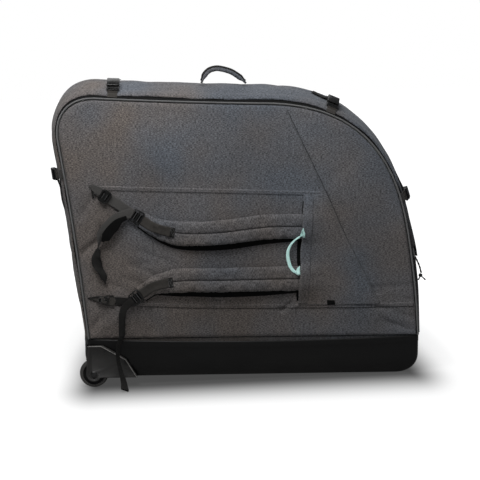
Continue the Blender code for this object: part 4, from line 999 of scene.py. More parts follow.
# Creases of the gusset in millimetres, as distance along the seam and depth
GUSSET_CREASES = metres((
    (640, -50, 760, 10, -3, 12), (800, -60, 960, -20, -3, 10), (930, -30, 1030, 40, -3, 12),
    (1050, 20, 1150, -60, -3.5, 10), (1120, 40, 1230, -40, -3, 12), (1180, -20, 1330, -60, -3, 10),
    (1300, 50, 1420, -10, -2.5, 14), (520, -60, 600, 60, -2.5, 14), (200, -40, 300, 50, -2.5, 14),
    (1750, -50, 1860, 50, -2.5, 14), (30, -60, 60, 60, -2, 10), (2020, -60, 2050, 60, -2, 10),
))


def gusset_strip(start, end, across, lift=0.0, creases=(), sway=0.0):
    """A strip of the gusset between two depths, all the way along the seam."""
    steps = SEAM_STEPS

    def place(u, v):
        i = round(u * steps)
        point, normal, s = SEAM[i], SEAM_NORMAL[i], SEAM_DISTANCE[i]
        y = start + (end - start) * v
        relief = lift
        if sway:
            fade = smooth_step(min(y - start, end - y) / 0.02)
            relief -= sway * fade * (1 - wobble(s * 9, y * 16, 4.0))
            relief += 0.0012 * fade * wobble(s * 26, y * 22, 1.0)
        relief += creased(creases, s, y)
        place_out = over_gusset(point, normal, y, relief)
        if i in (0, steps):
            place_out.z = BASE_HEIGHT + 2 * FIT
        return place_out, (s, y)

    return face_away(mapped(steps, across, place), HEART)


def corded_edge(name, y, body, stands_for):
    """Piping along the seam at one depth."""
    places = [seam_at(SEAM_LENGTH * i / SEAM_STEPS) for i in range(SEAM_STEPS + 1)]
    path = [over_gusset(point, normal, y) for point, normal in places]
    outs = [Vector((normal.x, 0, normal.y)) for _, normal in places]
    path[0].z = path[-1].z = BASE_HEIGHT + FIT
    section = round_section(PIPING_RADIUS)
    # The piping's lighter cloth paints its highlight
    add_swept(name, path, section, 12, PIPING_WITH_PAINTED_HIGHLIGHT, body, "piping", outs, stands_for=(stands_for,))


TOOTH_PITCH = 0.0042
TOOTH_SIZE = (0.0014, 0.0030, 0.0016, 1.0)


def zip_teeth(name, y, offset, body):
    """One half of the zip's coil: a small tooth every few millimetres."""
    bm = bmesh.new()
    for i in range(1, int(SEAM_LENGTH / TOOTH_PITCH)):
        point, normal = seam_at((i + offset) * TOOTH_PITCH)
        out = gusset_out(point, normal, y)
        along = Vector((-normal.y, 0, normal.x))
        turn = axes(along, out.cross(along), out) @ Matrix.Diagonal(TOOTH_SIZE)
        place = Matrix.Translation(over_gusset(point, normal, y, 0.0001))
        bmesh.ops.create_cube(bm, size=1.0, matrix=place @ turn)
    add_piece(name, bm, PLASTIC, body, "buckle_plastic")


# Across the flap over the zip: (share of its width, lift)
FLAP_ROWS = ((0.0, 0.0006), (0.12, 0.0026), (0.4, 0.0034), (0.7, 0.0030), (0.92, 0.0014), (1.0, -0.0006))
FLAP_REACH = 0.005


def build_zip_flap():
    """The gusset's folded edge, which lies over the zip and stops short of the slider's run."""
    _, lid_end, _, case_end = zip_band()
    far = SEAM_LENGTH - HOOD_TOP

    def place(u, v):
        s = SEAM_LENGTH * u
        point, normal = seam_at(s)
        cover = 1 - smooth_step((s - far + 0.05) / 0.06)
        start = case_end + 0.0005 + (lid_end - FLAP_REACH - case_end) * cover
        share, lift = FLAP_ROWS[round(v * 5)]
        pressed = max(math.exp(-(((s - at) / 0.020) ** 2)) for _, at in strap_frames())
        wave = (wobble(s * 15, 3.0, 8.0) * 0.0045 - 0.0008) * cover
        y = start + wave * (1 - share) + (case_end + 0.006 - start) * share
        droop = (0.0016 + 0.0022 * wobble(s * 11, 7.0, 2.0)) * cover * (1 - share)
        spot = over_gusset(point, normal, y, lift * (1 - 0.65 * pressed) + droop * (1 - pressed))
        spot.z = max(spot.z, BASE_HEIGHT + FIT)
        return spot, (s, y)

    add_sheet("zip_flap", SEAM_STEPS, 5, place, HEATHER, "case", "heather_fabric", wall=0.0012)


def build_gusset():
    lid_start, lid_end, case_start, case_end = zip_band()
    back = HALF_DEPTH - PIPING_RADIUS - FIT
    bm = gusset_strip(case_end - 0.004, back, 46, 0.0, GUSSET_CREASES, 0.0012)
    found = BVHTree.FromBMesh(bm)
    add_piece("gusset_cloth", bm, HEATHER, "case", "heather_fabric", ("gusset",), wall=0.003)
    for body, start in (("case", case_start), ("lid", lid_start)):
        bm = gusset_strip(start, start + TAPE_WIDTH, 4)
        # Both tapes are near black, which paints the shade under the flap
        add_piece(body + "_zip_tape", bm, TAPE_IN_PAINTED_SHADE, body, "zip_tape", ("zip_tape_" + body,), wall=0.002)
    zip_teeth("case_zip_teeth", case_start - 0.0002, 0.5, "case")
    zip_teeth("lid_zip_teeth", lid_end + 0.0002, 0.0, "lid")
    corded_edge("front_corded_edge", FRONT, "lid", "front_piping")
    corded_edge("back_corded_edge", HALF_DEPTH, "case", "back_piping")
    build_zip_flap()
    return found


# The base


RING_STEPS = 240


def base_outline(z, end_inset, long_inset):
    """Points round the base at one level, with small corners and crowned ends."""
    corner, steps = 0.012, 6
    half = HALF_DEPTH - long_inset
    length = BASE_LENGTH / 2 - end_inset
    ring = []
    for sx, sy, start in ((1, -1, -90), (1, 1, 0), (-1, 1, 90), (-1, -1, 180)):
        for i in range(steps + 1):
            angle = math.radians(start + 90 * i / steps)
            x = sx * (length - corner) + corner * math.cos(angle)
            ring.append(Vector((x, sy * (half - corner) + corner * math.sin(angle), z)))
    ring = even_path([*ring, ring[0]], RING_STEPS)[:-1]
    for point in ring:
        reach = smooth_step((abs(point.x) - length + 0.06) / 0.06)
        point.x += math.copysign(CROWN_FOOT * (1 - (point.y / half) ** 2) * reach, point.x)
    return ring


def edge_height(x):
    """Top of the coated cloth: it dips along the front and the back."""
    return BASE_HEIGHT - EDGE_BOW * (1 - min(abs(x) / (BASE_LENGTH / 2), 1.0) ** 2)


def base_levels():
    """(height, end inset, long inset) from the open top down and round to the underside."""
    wall_steps, turn_steps = 12, 10
    wall = BASE_HEIGHT - TUB_END_RADIUS
    levels = [(BASE_HEIGHT - wall * i / wall_steps, 0.0, 0.0) for i in range(wall_steps)]
    for i in range(turn_steps + 1):
        angle = math.pi / 2 * i / turn_steps
        inset = 1 - math.cos(angle)
        height = TUB_END_RADIUS * (1 - math.sin(angle))
        levels.append((height, TUB_END_RADIUS * inset, TUB_LONG_RADIUS * inset))
    return levels


def build_base():
    """The coated tub with its doubled hem, and the strip of heather cloth above its dipping edge."""
    rings = [base_outline(*level) for level in base_levels()]
    last = len(rings) - 1
    floor_steps = 10

    def place(u, v):
        k = round(v * (last + floor_steps))
        point = rings[min(k, last)][round(u * RING_STEPS) % RING_STEPS].copy()
        if k > last:
            share = 1 - (k - last) / floor_steps
            point.y *= share
            point.x *= 1 - 0.06 * (1 - share)
            return point, (point.x, point.y)
        on_side = smooth_step((BASE_LENGTH / 2 - abs(point.x)) / 0.02)
        top = BASE_HEIGHT - (BASE_HEIGHT - edge_height(point.x)) * on_side
        point.z *= 1 - (1 - top / BASE_HEIGHT) * smooth_step(point.z / BASE_HEIGHT)
        out = Vector((math.copysign(1, point.x), 0, 0))
        if abs(point.x) < 0.42:
            out = Vector((point.x * 0.02, point.y, 0)).normalized()
        hem = smooth_step((point.z - top + HEM_DEPTH) / 0.002)
        wave = wobble(point.x * 9, point.y * 9, point.z * 14)
        point += out * (0.0007 * hem + 0.0010 * wave * smooth_step(point.z / 0.05))
        return point, (point.x + point.y, point.z)

    bm = face_away(mapped(RING_STEPS, last + floor_steps, place), BASE_HEART)
    tub = add_piece("tub_cloth", bm, TARPAULIN, "case", "black_tarpaulin", ("base_tub",), TUB_WALL)
    for side in (-1, 1):
        carve_housing(tub, side)
    for side, label in ((-1, "front"), (1, "back")):
        build_skirt(side, label)
        build_corner_liner(side)


def build_corner_liner(side):
    """A strip of lining inside the tub's corner, which closes it round the wheel housing."""
    low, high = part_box("wheel_housing_" + side_name(side))
    ring = [p for p in base_outline(0.0, 0.0036, 0.0036) if p.x < low.x + 0.050 and p.y * side > 0.070]
    ring.sort(key=lambda p: p.x + p.y * side)
    last = len(ring) - 1

    def place(u, v):
        p = ring[round(u * last)]
        return Vector((p.x, p.y, high.z - 0.022 + 0.030 * v)), (p.x + p.y, high.z * v)

    name = "corner_liner_" + side_name(side)
    add_sheet(name, last, 4, place, LINING, "case", "padding_foam", wall=0.0010, inside=BASE_HEART)


def build_skirt(side, label):
    """The heather strip that shows where the coated cloth dips, in a darker heather that paints the shade
    there.
    """

    def place(u, v):
        x = (2 * u - 1) * (BASE_LENGTH / 2 - 0.014)
        z = BASE_HEIGHT - 0.015 * v
        return Vector((x, side * (HALF_DEPTH - 0.0006), z)), (x * side, z)

    name = label + "_skirt"
    add_sheet(name, 80, 4, place, SKIRT_PAINTED_SHADE, "case", "heather_fabric", wall=0.0015, inside=BASE_HEART)


def side_name(side):
    return "front" if side < 0 else "rear"


def carve_housing(tub, side):
    """Cuts the corner out of the tub's cloth where a wheel housing goes."""
    low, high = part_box("wheel_housing_" + side_name(side))
    knee = [(low.x + 0.040, high.z), (low.x + 0.066, high.z - 0.015), (high.x - 0.029, high.z - 0.037)]
    outline = [(low.x - 0.2, high.z), *knee, (high.x, 0.002), (high.x, -0.1), (low.x - 0.2, -0.1)]
    inner = (low.y if side > 0 else high.y) - side * 0.0005
    bm = bmesh.new()
    corners = [bm.verts.new((x, inner, z)) for x, z in outline]
    face = bm.faces.new(corners)
    moved = bmesh.ops.extrude_face_region(bm, geom=[face])
    verts = [v for v in moved["geom"] if isinstance(v, bmesh.types.BMVert)]
    bmesh.ops.translate(bm, verts=verts, vec=(0, side * 0.2, 0))
    bmesh.ops.recalc_face_normals(bm, faces=bm.faces)
    notch = in_scene("notch", mesh_of("notch", bm))
    cut = tub.modifiers.new("notch", "BOOLEAN")
    cut.operation = "DIFFERENCE"
    cut.solver = "EXACT"
    cut.object = notch
    baked(tub)
    bpy.data.objects.remove(notch)


# Wheel housings, wheels and bolts


def spun(bm, geom, axis, centre, steps):
    """Turns a profile once round an axis."""
    bmesh.ops.spin(
        bm, geom=geom, axis=axis, cent=centre, angle=2 * math.pi, steps=steps, use_merge=True,
        use_normal_flip=False,
    )


def turned(profile, steps, centre):
    """A closed profile of (radius, depth) points spun about an axis along Y."""
    bm = bmesh.new()
    verts = [bm.verts.new((radius, depth, 0)) for radius, depth in profile]
    edges = [bm.edges.new(pair) for pair in zip(verts, verts[1:] + verts[:1])]
    spun(bm, verts + edges, (0, 1, 0), (0, 0, 0), steps)
    bmesh.ops.remove_doubles(bm, verts=bm.verts, dist=0.00001)
    bmesh.ops.recalc_face_normals(bm, faces=bm.faces)
    bmesh.ops.translate(bm, verts=bm.verts, vec=centre)
    return bm


def round_rim(radius, half, shoulder, steps=10):
    """Half-round tread: points from one side of the tyre to the other."""
    return [
        (radius - shoulder + shoulder * math.cos(a), half * math.sin(a))
        for a in (math.pi * (i / steps - 0.5) for i in range(steps + 1))
    ]


def build_wheel(side):
    name = side_name(side)
    centre = Vector((WHEEL_AXLE[0], side * WHEEL_TRACK / 2, WHEEL_AXLE[1]))
    half = WHEEL_WIDTH / 2
    seat = WHEEL_RADIUS - TYRE_DEPTH
    tread = round_rim(WHEEL_RADIUS, half, 0.008)
    side_wall = [(seat + 0.0070, half - 0.0005), (seat + 0.0066, half - 0.0032), (seat, half - 0.0032)]
    tyre = [*tread, *side_wall, *((r, -y) for r, y in reversed(side_wall))]
    rim, flange = seat - FIT, seat + 0.0062
    edge, web, boss = half - 0.0018, half - 0.0032, half + 0.0016
    lower = [
        (rim, -half + 0.0034), (flange, -half + 0.0030), (flange, -edge), (rim - 0.004, -edge),
        (rim - 0.005, -web), (0.0125, -web), (0.0125, -half), (0.008, -half), (0.008, -boss),
        (0.0044, -boss),
    ]
    hub = [*lower, *((r, -y) for r, y in reversed(lower))]
    # The hub's near-black flange paints the shade in the gap between tyre and housing
    for part, profile, steps, material, slot, node in (
        ("tyre", tyre, 72, TYRE, "wheel_tyre", "tyre"), ("hub", hub, 64, HUB_WITH_PAINTED_SHADE, "wheel_hub", "wheel_hub"),
    ):
        bm = turned(profile, steps, centre)
        add_piece(f"{part}_{name}_round", bm, material, f"wheel_{name}", slot, (f"{node}_{name}",))


HOUSING_SCREWS = ((-0.396, 0.071), (-0.347, 0.042))


def build_housing(side):
    """The moulded housing: its outer cheek has a raised rim and two screws, with two rings round the axle
    and a light line along its top edge that paints a highlight.
    """
    name = side_name(side)
    node = f"wheel_housing_{name}"
    bm = bmesh.new()
    bm.from_mesh(frame["nodes"][node].data)
    bmesh.ops.remove_doubles(bm, verts=bm.verts, dist=0.00001)
    bmesh.ops.dissolve_limit(bm, angle_limit=math.radians(1), verts=bm.verts, edges=bm.edges)
    cheek = [f for f in bm.faces if f.normal.y * side > 0.99 and f.calc_area() > 0.002]
    for thickness, depth in ((0.0030, 0.0), (0.0008, -0.0012)):
        bmesh.ops.inset_region(
            bm, faces=cheek, thickness=thickness, depth=depth, use_even_offset=True, use_boundary=True
        )
    add_piece(f"housing_{name}_moulded", bm, HOUSING, "case", "housing_plastic", (node,), sharp=30)
    low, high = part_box(node)
    edge_y = high.y if side > 0 else low.y
    face = edge_y - side * 0.0012
    out = OUT * -side
    for number, (x, z) in enumerate(HOUSING_SCREWS, start=1):
        build_screw(f"screw_{name}_{number}", Vector((x, face, z)), side)
    corners = (
        (low.x + 0.0040, high.z - 0.0012), (low.x + 0.0395, high.z - 0.0012),
        (low.x + 0.0652, high.z - 0.0160), (high.x - 0.0300, high.z - 0.0380), (high.x - 0.0016, 0.0030),
    )
    # The light line along the top edge paints the highlight on its bevel
    lines = [("edge", even_path([Vector((x, edge_y, z)) for x, z in corners], 90), 0.0009, EDGE_PAINTED_HIGHLIGHT)]
    centre = Vector((WHEEL_AXLE[0], face, WHEEL_AXLE[1]))
    for number, radius in enumerate((0.0175, 0.0120), start=1):
        turns = [math.pi * (i / 40 + 0.95) for i in range(41)]
        ring = [centre + Vector((math.cos(a), 0, math.sin(a))) * radius for a in turns]
        lines.append((f"ring_{number}", ring, 0.0006, HOUSING))
    for part, line, radius, material in lines:
        section = round_section(radius)
        add_swept(f"housing_{name}_{part}", line, section, 8, material, "case", "housing_plastic", out)


def build_screw(name, place, side):
    """A small countersunk screw with a round recess pressed into its head."""
    bm = bmesh.new()
    turn = Matrix.Translation(place) @ Matrix.Rotation(-side * math.pi / 2, 4, "X")
    bmesh.ops.create_cone(
        bm, cap_ends=True, segments=24, radius1=0.0036, radius2=0.0030, depth=0.0012, matrix=turn
    )
    top = [f for f in bm.faces if f.normal.y * side > 0.9]
    bmesh.ops.inset_region(bm, faces=top, thickness=0.0012, depth=0.0)
    bmesh.ops.inset_region(bm, faces=top, thickness=0.0002, depth=-0.0005)
    add_piece(name, bm, BLACK_STEEL, "case", "steel")


# Compression straps


def strap_frames():
    """(label, distance along the seam) of each compression strap."""
    return [(label, place if place > 0 else SEAM_LENGTH + place) for label, place in STRAP_PLACES.items()]


def gusset_frame(distance, y, lift):
    """A matrix on the gusset: local X runs to the front along the crown, local Z points outwards."""
    point, normal = seam_at(distance)
    slope = 2 * crown_at(point, normal) * y / HALF_DEPTH**2
    forward = Vector((normal.x * slope, -1.0, normal.y * slope)).normalized()
    out = Vector((normal.x, 0.0, normal.y))
    out = (out - forward * out.dot(forward)).normalized()
    across = out.cross(forward)
    return Matrix.Translation(over_gusset(point, normal, y) + out * lift) @ axes(forward, across, out)


def build_compression_straps(gusset_tree):
    _, lid_end, _, case_end = zip_band()
    edge = PIPING_RADIUS + FIT
    for label, distance in strap_frames():
        point, normal = seam_at(distance)
        frame_at = gusset_frame(distance, FRONT + BUCKLE_SETBACKS[label], BUCKLE_LIFT)
        across = frame_at.to_3x3().col[1].copy()
        softened(f"buckle_socket_{label}", 0.0006, PLASTIC, "buckle_plastic")
        softened(f"buckle_tongue_{label}", 0.0005, PLASTIC, "buckle_plastic")
        rear = [frame_at @ Vector((-SOCKET_LENGTH - BUCKLE_GAP, 0, 0))]
        run = HALF_DEPTH - edge - 0.002 - rear[0].y
        for i in range(1, 31):
            rear.append(on_gusset(gusset_tree, point, normal, rear[0].y + run * i / 30, 0.0014))
        stands_for = (f"rear_webbing_{label}",)
        webbing(f"rear_strap_{label}", smoothed(rear, 2), GREY_WEBBING, "case", None, across, stands_for)
        front = [frame_at @ Vector((TONGUE_LENGTH + BUCKLE_GAP, 0, 0))]
        for i in range(1, 17):
            y = front[0].y + (FRONT + edge - front[0].y) * i / 16
            rise = smooth_step((y - lid_end + 0.010) / 0.005)
            rise *= 1 - smooth_step((y - case_end - 0.004) / 0.008)
            front.append(over_gusset(point, normal, y, STRAP_LIFT + STRAP_RISE * rise))
        stands_for = (f"front_webbing_{label}",)
        strap = webbing(f"front_strap_{label}", front, PATCH, None, None, across, stands_for)
        tuple(front[0])
        tuple(front[-1])
        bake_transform(strap)
        build_strap_end(label, distance, gusset_tree)


# Loose ends behind the buckles in millimetres: (distance along the seam from the strap, depth, lift)
STRAP_ENDS = metres({
    "left": (
        (0, -34, 8.2), (-12, -46, 4.8), (-30, -62, 2.8), (-54, -74, 5), (-72, -78, 5.6), (-94, -79, 2.6),
    ),
    "top_left": ((0, -46.5, 7.8), (2, -34, 5.8), (4, -14, 3.2), (7, 14, 2.4)),
    "top_right": ((0, -52, 11.5), (-10, -50, 8.5), (-20, -46, 4.2), (-34, -38, 2.8), (-50, -28, 2.4)),
    "right": ((0, -50, 8), (-10, -58, 5), (-28, -66, 3), (-46, -74, 2.8), (-64, -78, 2.4)),
})


def build_strap_end(label, distance, gusset_tree):
    """The loose end that comes out behind the socket and lies down on the gusset."""
    rough = smooth_path([Vector(spot) for spot in STRAP_ENDS[label]], 28)
    path = [on_gusset(gusset_tree, *seam_at(distance + spot.x), spot.y, spot.z) for spot in rough]
    out = gusset_out(*seam_at(distance), path[14].y)
    webbing(f"strap_end_{label}", path, WEBBING, "case", out, width=0.021)


# Top handle

HANDLE_CENTRE = -0.077
HANDLE_WIDTH = 0.026
HANDLE_REACH = 0.060
HANDLE_ARCH = metres((
    (-56, -3), (-49.5, 8.5), (-41, 18), (-29, 23.7), (-12, 25), (16, 18), (34, 8), (48, -2), (56.5, -8.5),
))


def build_handle(gusset_tree):
    """A padded grip in grey cloth over a black underside; its flat ends are stitched down."""
    low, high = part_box("top_handle")
    radius = HANDLE_WIDTH / 2
    foot, y = low.z + radius, (low.y + high.y) / 2
    tip = 0.0008 - radius
    left, right = -HANDLE_REACH, HANDLE_REACH
    route = [Vector((HANDLE_CENTRE + x, y, foot + z)) for x, z in ((left, tip), *HANDLE_ARCH, (right, tip))]
    path = smooth_path(route, 80)
    length = lengths_along(path)[-1]

    def thickness(v):
        return 0.0028 + 0.0028 * smooth_step((min(v, 1 - v) * length - radius * 0.7) / 0.014)

    def half_width(v):
        reach = min(v, 1 - v) * length
        return math.sqrt(max(radius**2 - max(-tip - reach, 0.0) ** 2, 1e-6))

    def cover(v, angle):
        c = math.cos(angle)
        pucker = wobble(v * 34, c * 1.5, 2.0) * 0.0007
        up = 0.0012 + pucker + signed_power(math.sin(angle), 0.7) * thickness(v)
        return signed_power(c, 0.5) * half_width(v), up

    def lining(v, angle):
        v = 0.04 + v * 0.92
        across = signed_power(math.cos(angle), 0.6) * half_width(v) * 0.86
        return across, -0.0012 - thickness(v) * 0.55 + math.sin(angle) * thickness(v) * 0.75

    body, side = "top_handle", Vector((0, 1, 0))
    strap = add_swept("handle_cover", path, cover, 24, HEATHER, body, "webbing", None, side, ("top_handle",))
    add_swept("handle_underside", path[3:-3], lining, 20, WEBBING, body, "webbing", None, side)
    for number, x in enumerate((left, right), start=1):
        build_handle_foot(f"handle_foot_{number}", HANDLE_CENTRE + x, y, gusset_tree)


def build_handle_foot(name, x, y, gusset_tree):
    """The patch of cloth that holds one end of the handle, sewn onto the gusset."""
    ridge = [i for i, p in enumerate(SEAM) if p.y > SHOULDER_HEIGHT]

    def place(u, v):
        spot = Vector((x + (u - 0.5) * 0.018, y + (v - 0.5) * 0.032))
        nearest = min(ridge, key=lambda i: abs(SEAM[i].x - spot.x))
        edge = min(u, 1 - u, v, 1 - v)
        lift = 0.0003 + 0.0006 * smooth_step(edge / 0.1)
        return on_gusset(gusset_tree, SEAM[nearest], SEAM_NORMAL[nearest], spot.y, lift), (spot.x, spot.y)

    add_sheet(name, 8, 10, place, HEATHER, "case", "webbing", wall=0.0010)


# Zip slider, pull and cord

STRAND_RADIUS = 0.0016
STRAND_SPREAD = 0.0009
STRAND_TURNS = 2.2
KNOT_RADIUS = 0.0034
ZIP_CORD_ROUTE = metres((
    (0, 0, 0), (2.2, -0.5, -5.5), (5.2, -1, -11.5), (8.2, -1.2, -18), (11, -1, -24.8),
    (13.4, -0.5, -31.6), (15.3, 0, -38.4), (16.8, 0.2, -44.5),
))


def build_zip_cord():
    """The pull's cord, doubled through its hole, with a knot and two frayed ends."""
    cord_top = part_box("zip_cord")[1].z
    verts = frame["nodes"]["zip_cord"].data.vertices
    exit_point = middle_of(v.co for v in verts if v.co.z > cord_top - 0.0004)
    route = smooth_path([exit_point + Vector(offset) for offset in ZIP_CORD_ROUTE], 60)
    deep = Vector((0, 1, 0))
    strands = []
    for turn in (0, math.pi):
        path = []
        for i, point in enumerate(route):
            angle = turn + 2 * math.pi * STRAND_TURNS * i / 60
            along = heading(route, i)
            across = along.cross(deep).normalized()
            aside = across * math.cos(angle) + across.cross(along) * math.sin(angle)
            path.append(point + aside * STRAND_SPREAD)
        strands.append(swept(path, round_section(STRAND_RADIUS), 10, sides=deep))
    mesh = bpy.data.meshes.new("strand")
    strands[1].to_mesh(mesh)
    strands[1].free()
    strands[0].from_mesh(mesh)
    bpy.data.meshes.remove(mesh)
    cord = add_piece("pull_cord", strands[0], CORD, "zip_pull", "pull_cord", ("zip_cord",), sharp=60)
    knot_low, knot_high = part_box("zip_cord_knot")
    centre = (knot_low + knot_high) / 2
    bm = bmesh.new()
    for angle, axis in ((0, "X"), (70, "Y"), (125, "X"), (50, "Y")):
        turn = Matrix.Rotation(math.radians(angle), 4, axis)
        add_ring(bm, Matrix.Translation(centre) @ turn, KNOT_RADIUS, STRAND_RADIUS * 1.35)
    bm.loops.layers.uv.new("cloth")
    bmesh.ops.recalc_face_normals(bm, faces=bm.faces)
    knot = add_piece("cord_knot", bm, CORD, "zip_pull", "pull_cord", ("zip_cord_knot",), sharp=60)
    for number, lean in enumerate((-0.45, 1.1), start=1):
        tip = [
            centre + Vector((0, 0, -0.001)),
            centre + Vector((0.006 * lean, -0.001, -0.006)),
            centre + Vector((0.012 * lean, 0.0, -0.0125)),
        ]
        name, path = f"cord_end_{number}", smooth_path(tip, 14)
        add_swept(name, path, frayed, 10, CORD, "zip_pull", "pull_cord", None, deep)
    lengths_along(route)[-1]
    softened("zip_slider", 0.0003, PLASTIC, "buckle_plastic")
    softened("zip_pull", 0.0003, STEEL, "steel")


def frayed(share, angle):
    """Section of a cord's cut end, which opens up over its last third."""
    radius = STRAND_RADIUS * (1.05 + 1.1 * max(share - 0.62, 0.0))
    return math.cos(angle) * radius, math.sin(angle) * radius


def add_ring(bm, matrix, radius, thickness):
    """A plain ring of cord."""
    place = matrix @ Matrix.Translation((radius, 0, 0)) @ Matrix.Rotation(math.pi / 2, 4, "X")
    verts = bmesh.ops.create_circle(bm, segments=10, radius=thickness, matrix=place)["verts"]
    edges = list({e for v in verts for e in v.link_edges})
    axis = matrix.to_3x3() @ Vector((0, 0, 1))
    spun(bm, verts + edges, axis, matrix @ Vector(), 20)


# Places along the seam, measured up from the right foot: the hood's two ends, its middle, and a place near
# its top end (the hood is not gathered there)
HOOD_TOP = 0.372
HOOD_FOOT = 0.208
HOOD_MIDDLE = 0.290
HOOD_GATHERED = 0.345
# Room beside the pull in the hood's slit
HOOD_PLAY = 0.0025


def build_zip_garage():
    """The black hood that the zip's slider parks under, open at its lower end, with a slit for the pull."""
    case_start = zip_band()[2]
    top, foot = SEAM_LENGTH - HOOD_TOP, SEAM_LENGTH - HOOD_FOOT
    y0, y1 = case_start - 0.010, case_start + 0.016

    def place(u, v):
        s = top + (foot - top) * u
        point, normal = seam_at(s)
        y = y0 + (y1 - y0) * v
        arch = math.sin(math.pi * min(max(v, 0.0), 1.0)) ** 0.7
        lip = 0.0012 if v < 0.5 else 0.0008
        return over_gusset(point, normal, y, lip + arch * (0.0015 + 0.0085 * smooth_step(u))), (y, s)

    bm = face_away(mapped(40, 26, place), HEART)
    low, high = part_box("zip_pull")
    slit = []
    for face in bm.faces:
        middle = face.calc_center_median()
        if middle.z < high.z + HOOD_PLAY and low.y - HOOD_PLAY < middle.y < high.y + HOOD_PLAY:
            slit.append(face)
    bmesh.ops.delete(bm, geom=slit, context="FACES")
    hood = add_piece("zip_hood", bm, HOOD, "case", "black_tarpaulin", wall=0.0010)
    gathered = over_gusset(*seam_at(SEAM_LENGTH - HOOD_GATHERED), y0)
    along = (seam_at(SEAM_LENGTH - HOOD_MIDDLE)[0] - seam_at(foot)[0]).normalized()
    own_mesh(hood)


# Backpack harness


SIMULATED_FRAMES = 20
CLOTH_SETTINGS = {
    "quality": 6, "mass": 0.2, "bending_stiffness": 0.2, "shrink_min": -0.03, "use_pressure": True,
}
PAD_PRESSURE = 4.0
POCKET_BEND = 0.085
PAD_SWELL = 0.004
PAD_RIPPLE = {"upper": 12.0, "lower": 18.0}


def pad_thickness(v):
    return PAD_THICKNESS * (0.55 + 0.45 * smooth_step((1 - v) / 0.08))


def pad_arch(v):
    return PAD_ARCH * math.sin(math.pi * v) ** 2


def pad_half_width(v):
    taper = smooth_step(min((1 - v) / 0.26, 1.0))
    return (PAD_END_WIDTH + (PAD_WIDTH - PAD_END_WIDTH) * taper) / 2, taper


PAD_SHAPE = (
    (-0.9, 0), (0, 0), (0.9, 0), (0.985, 0.16), (1, 0.36), (0.975, 0.6), (0.9, 0.8), (0.76, 0.93),
    (0.56, 0.99), (0.36, 1), (0.18, 0.96), (0.075, 0.9), (0.03, 0.78), (0, 0.66), (-0.03, 0.84),
    (-0.075, 0.94), (-0.18, 0.98), (-0.36, 1), (-0.56, 0.99), (-0.76, 0.93), (-0.9, 0.8), (-0.975, 0.6),
    (-1, 0.36), (-0.985, 0.16),
)


def build_pad(label, route, tree):
    """A padded shoulder strap, rolled at its sides, sewn along its middle and arched off the panel."""
    start = Vector(route[0]) + Vector((0.010, 0.0))
    path = smooth_path([start, *(Vector(p) for p in route[1:])], 110)
    count = len(path) - 1
    lengths = lengths_along(path)
    around = len(PAD_SHAPE)

    def place(u, v):
        i = round(v * count)
        half, taper = pad_half_width(v)
        across, up = PAD_SHAPE[round(u * around) % around]
        channel = 1 - abs(across) / 0.08
        if channel > 0 and up > 0.5:
            up += (1 - taper) * 0.3 * channel
        lift = PAD_LIFT + pad_arch(v) + up * pad_thickness(v)
        if up > 0.5:
            lift += wobble(lengths[i] * 55, across * 1.5, PAD_RIPPLE[label]) * 0.0007
            lift += wobble(lengths[i] * 14, across * 2.5, 3.0) * 0.0007
        flat = path[i] + sideways(path, i) * half * across
        on_cloth = half * across if up > 0.1 else half * across * 0.8 + 0.2
        return hit_from_front(tree, flat.x, flat.y, lift), (on_cloth, lengths[i])

    build_pad_back(label, path, lengths, tree)
    name, stands_for = f"{label}_shoulder_pad", (f"shoulder_strap_{label}",)
    bm = capped(mapped(around, count, place))
    pad = add_piece(name, bm, HEATHER_STRAP, None, "strap_padding", stands_for, sharp=50)

    def free(spot):
        """Held at the channel, on the back and at both ends."""
        from_end = min(spot.y, lengths[-1] - spot.y)
        return 0.0 if spot.x > 0.1 or abs(spot.x) < 0.0035 else smooth_step(from_end / 0.03)

    filled(pad, PAD_PRESSURE, PAD_SWELL, free)
    bend_at_pocket(pad, label)
    return path


def bend_at_pocket(obj, label):
    """Bakes a piece's place into its mesh; the strap is not bent at the pocket."""
    start = on_front(*PADS[label][0])
    end = start - Vector((POCKET_BEND, 0, 0))
    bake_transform(obj)


def build_pad_back(label, path, lengths, tree):
    """A black sheet behind a pad, whose lower edge shows under the arched pad: partly the pad's black mesh
    back, partly painted shadow under the pad.
    """
    count = len(path) - 1

    def place(u, v):
        i = round(v * count)
        side = sideways(path, i)
        if side.y > 0:
            side = -side
        half = pad_half_width(v)[0]
        drop = 0.013 * math.sin(math.pi * min(v * 1.1, 1.0)) ** 0.7 + 0.0035
        across = -half * 0.7 + (half * 1.7 + drop) * u
        flat = path[i] + side * across
        lift = 0.0010 + pad_arch(v) * 0.5 * (1 - smooth_step((across - half) / 0.008))
        return hit_from_front(tree, flat.x, flat.y, lift), (across, lengths[i])

    back = add_sheet(f"{label}_pad_back", 10, count, place, BLACK_CLOTH_AND_PAINTED_SHADE, None, "strap_padding", wall=0.0008)
    bend_at_pocket(back, label)


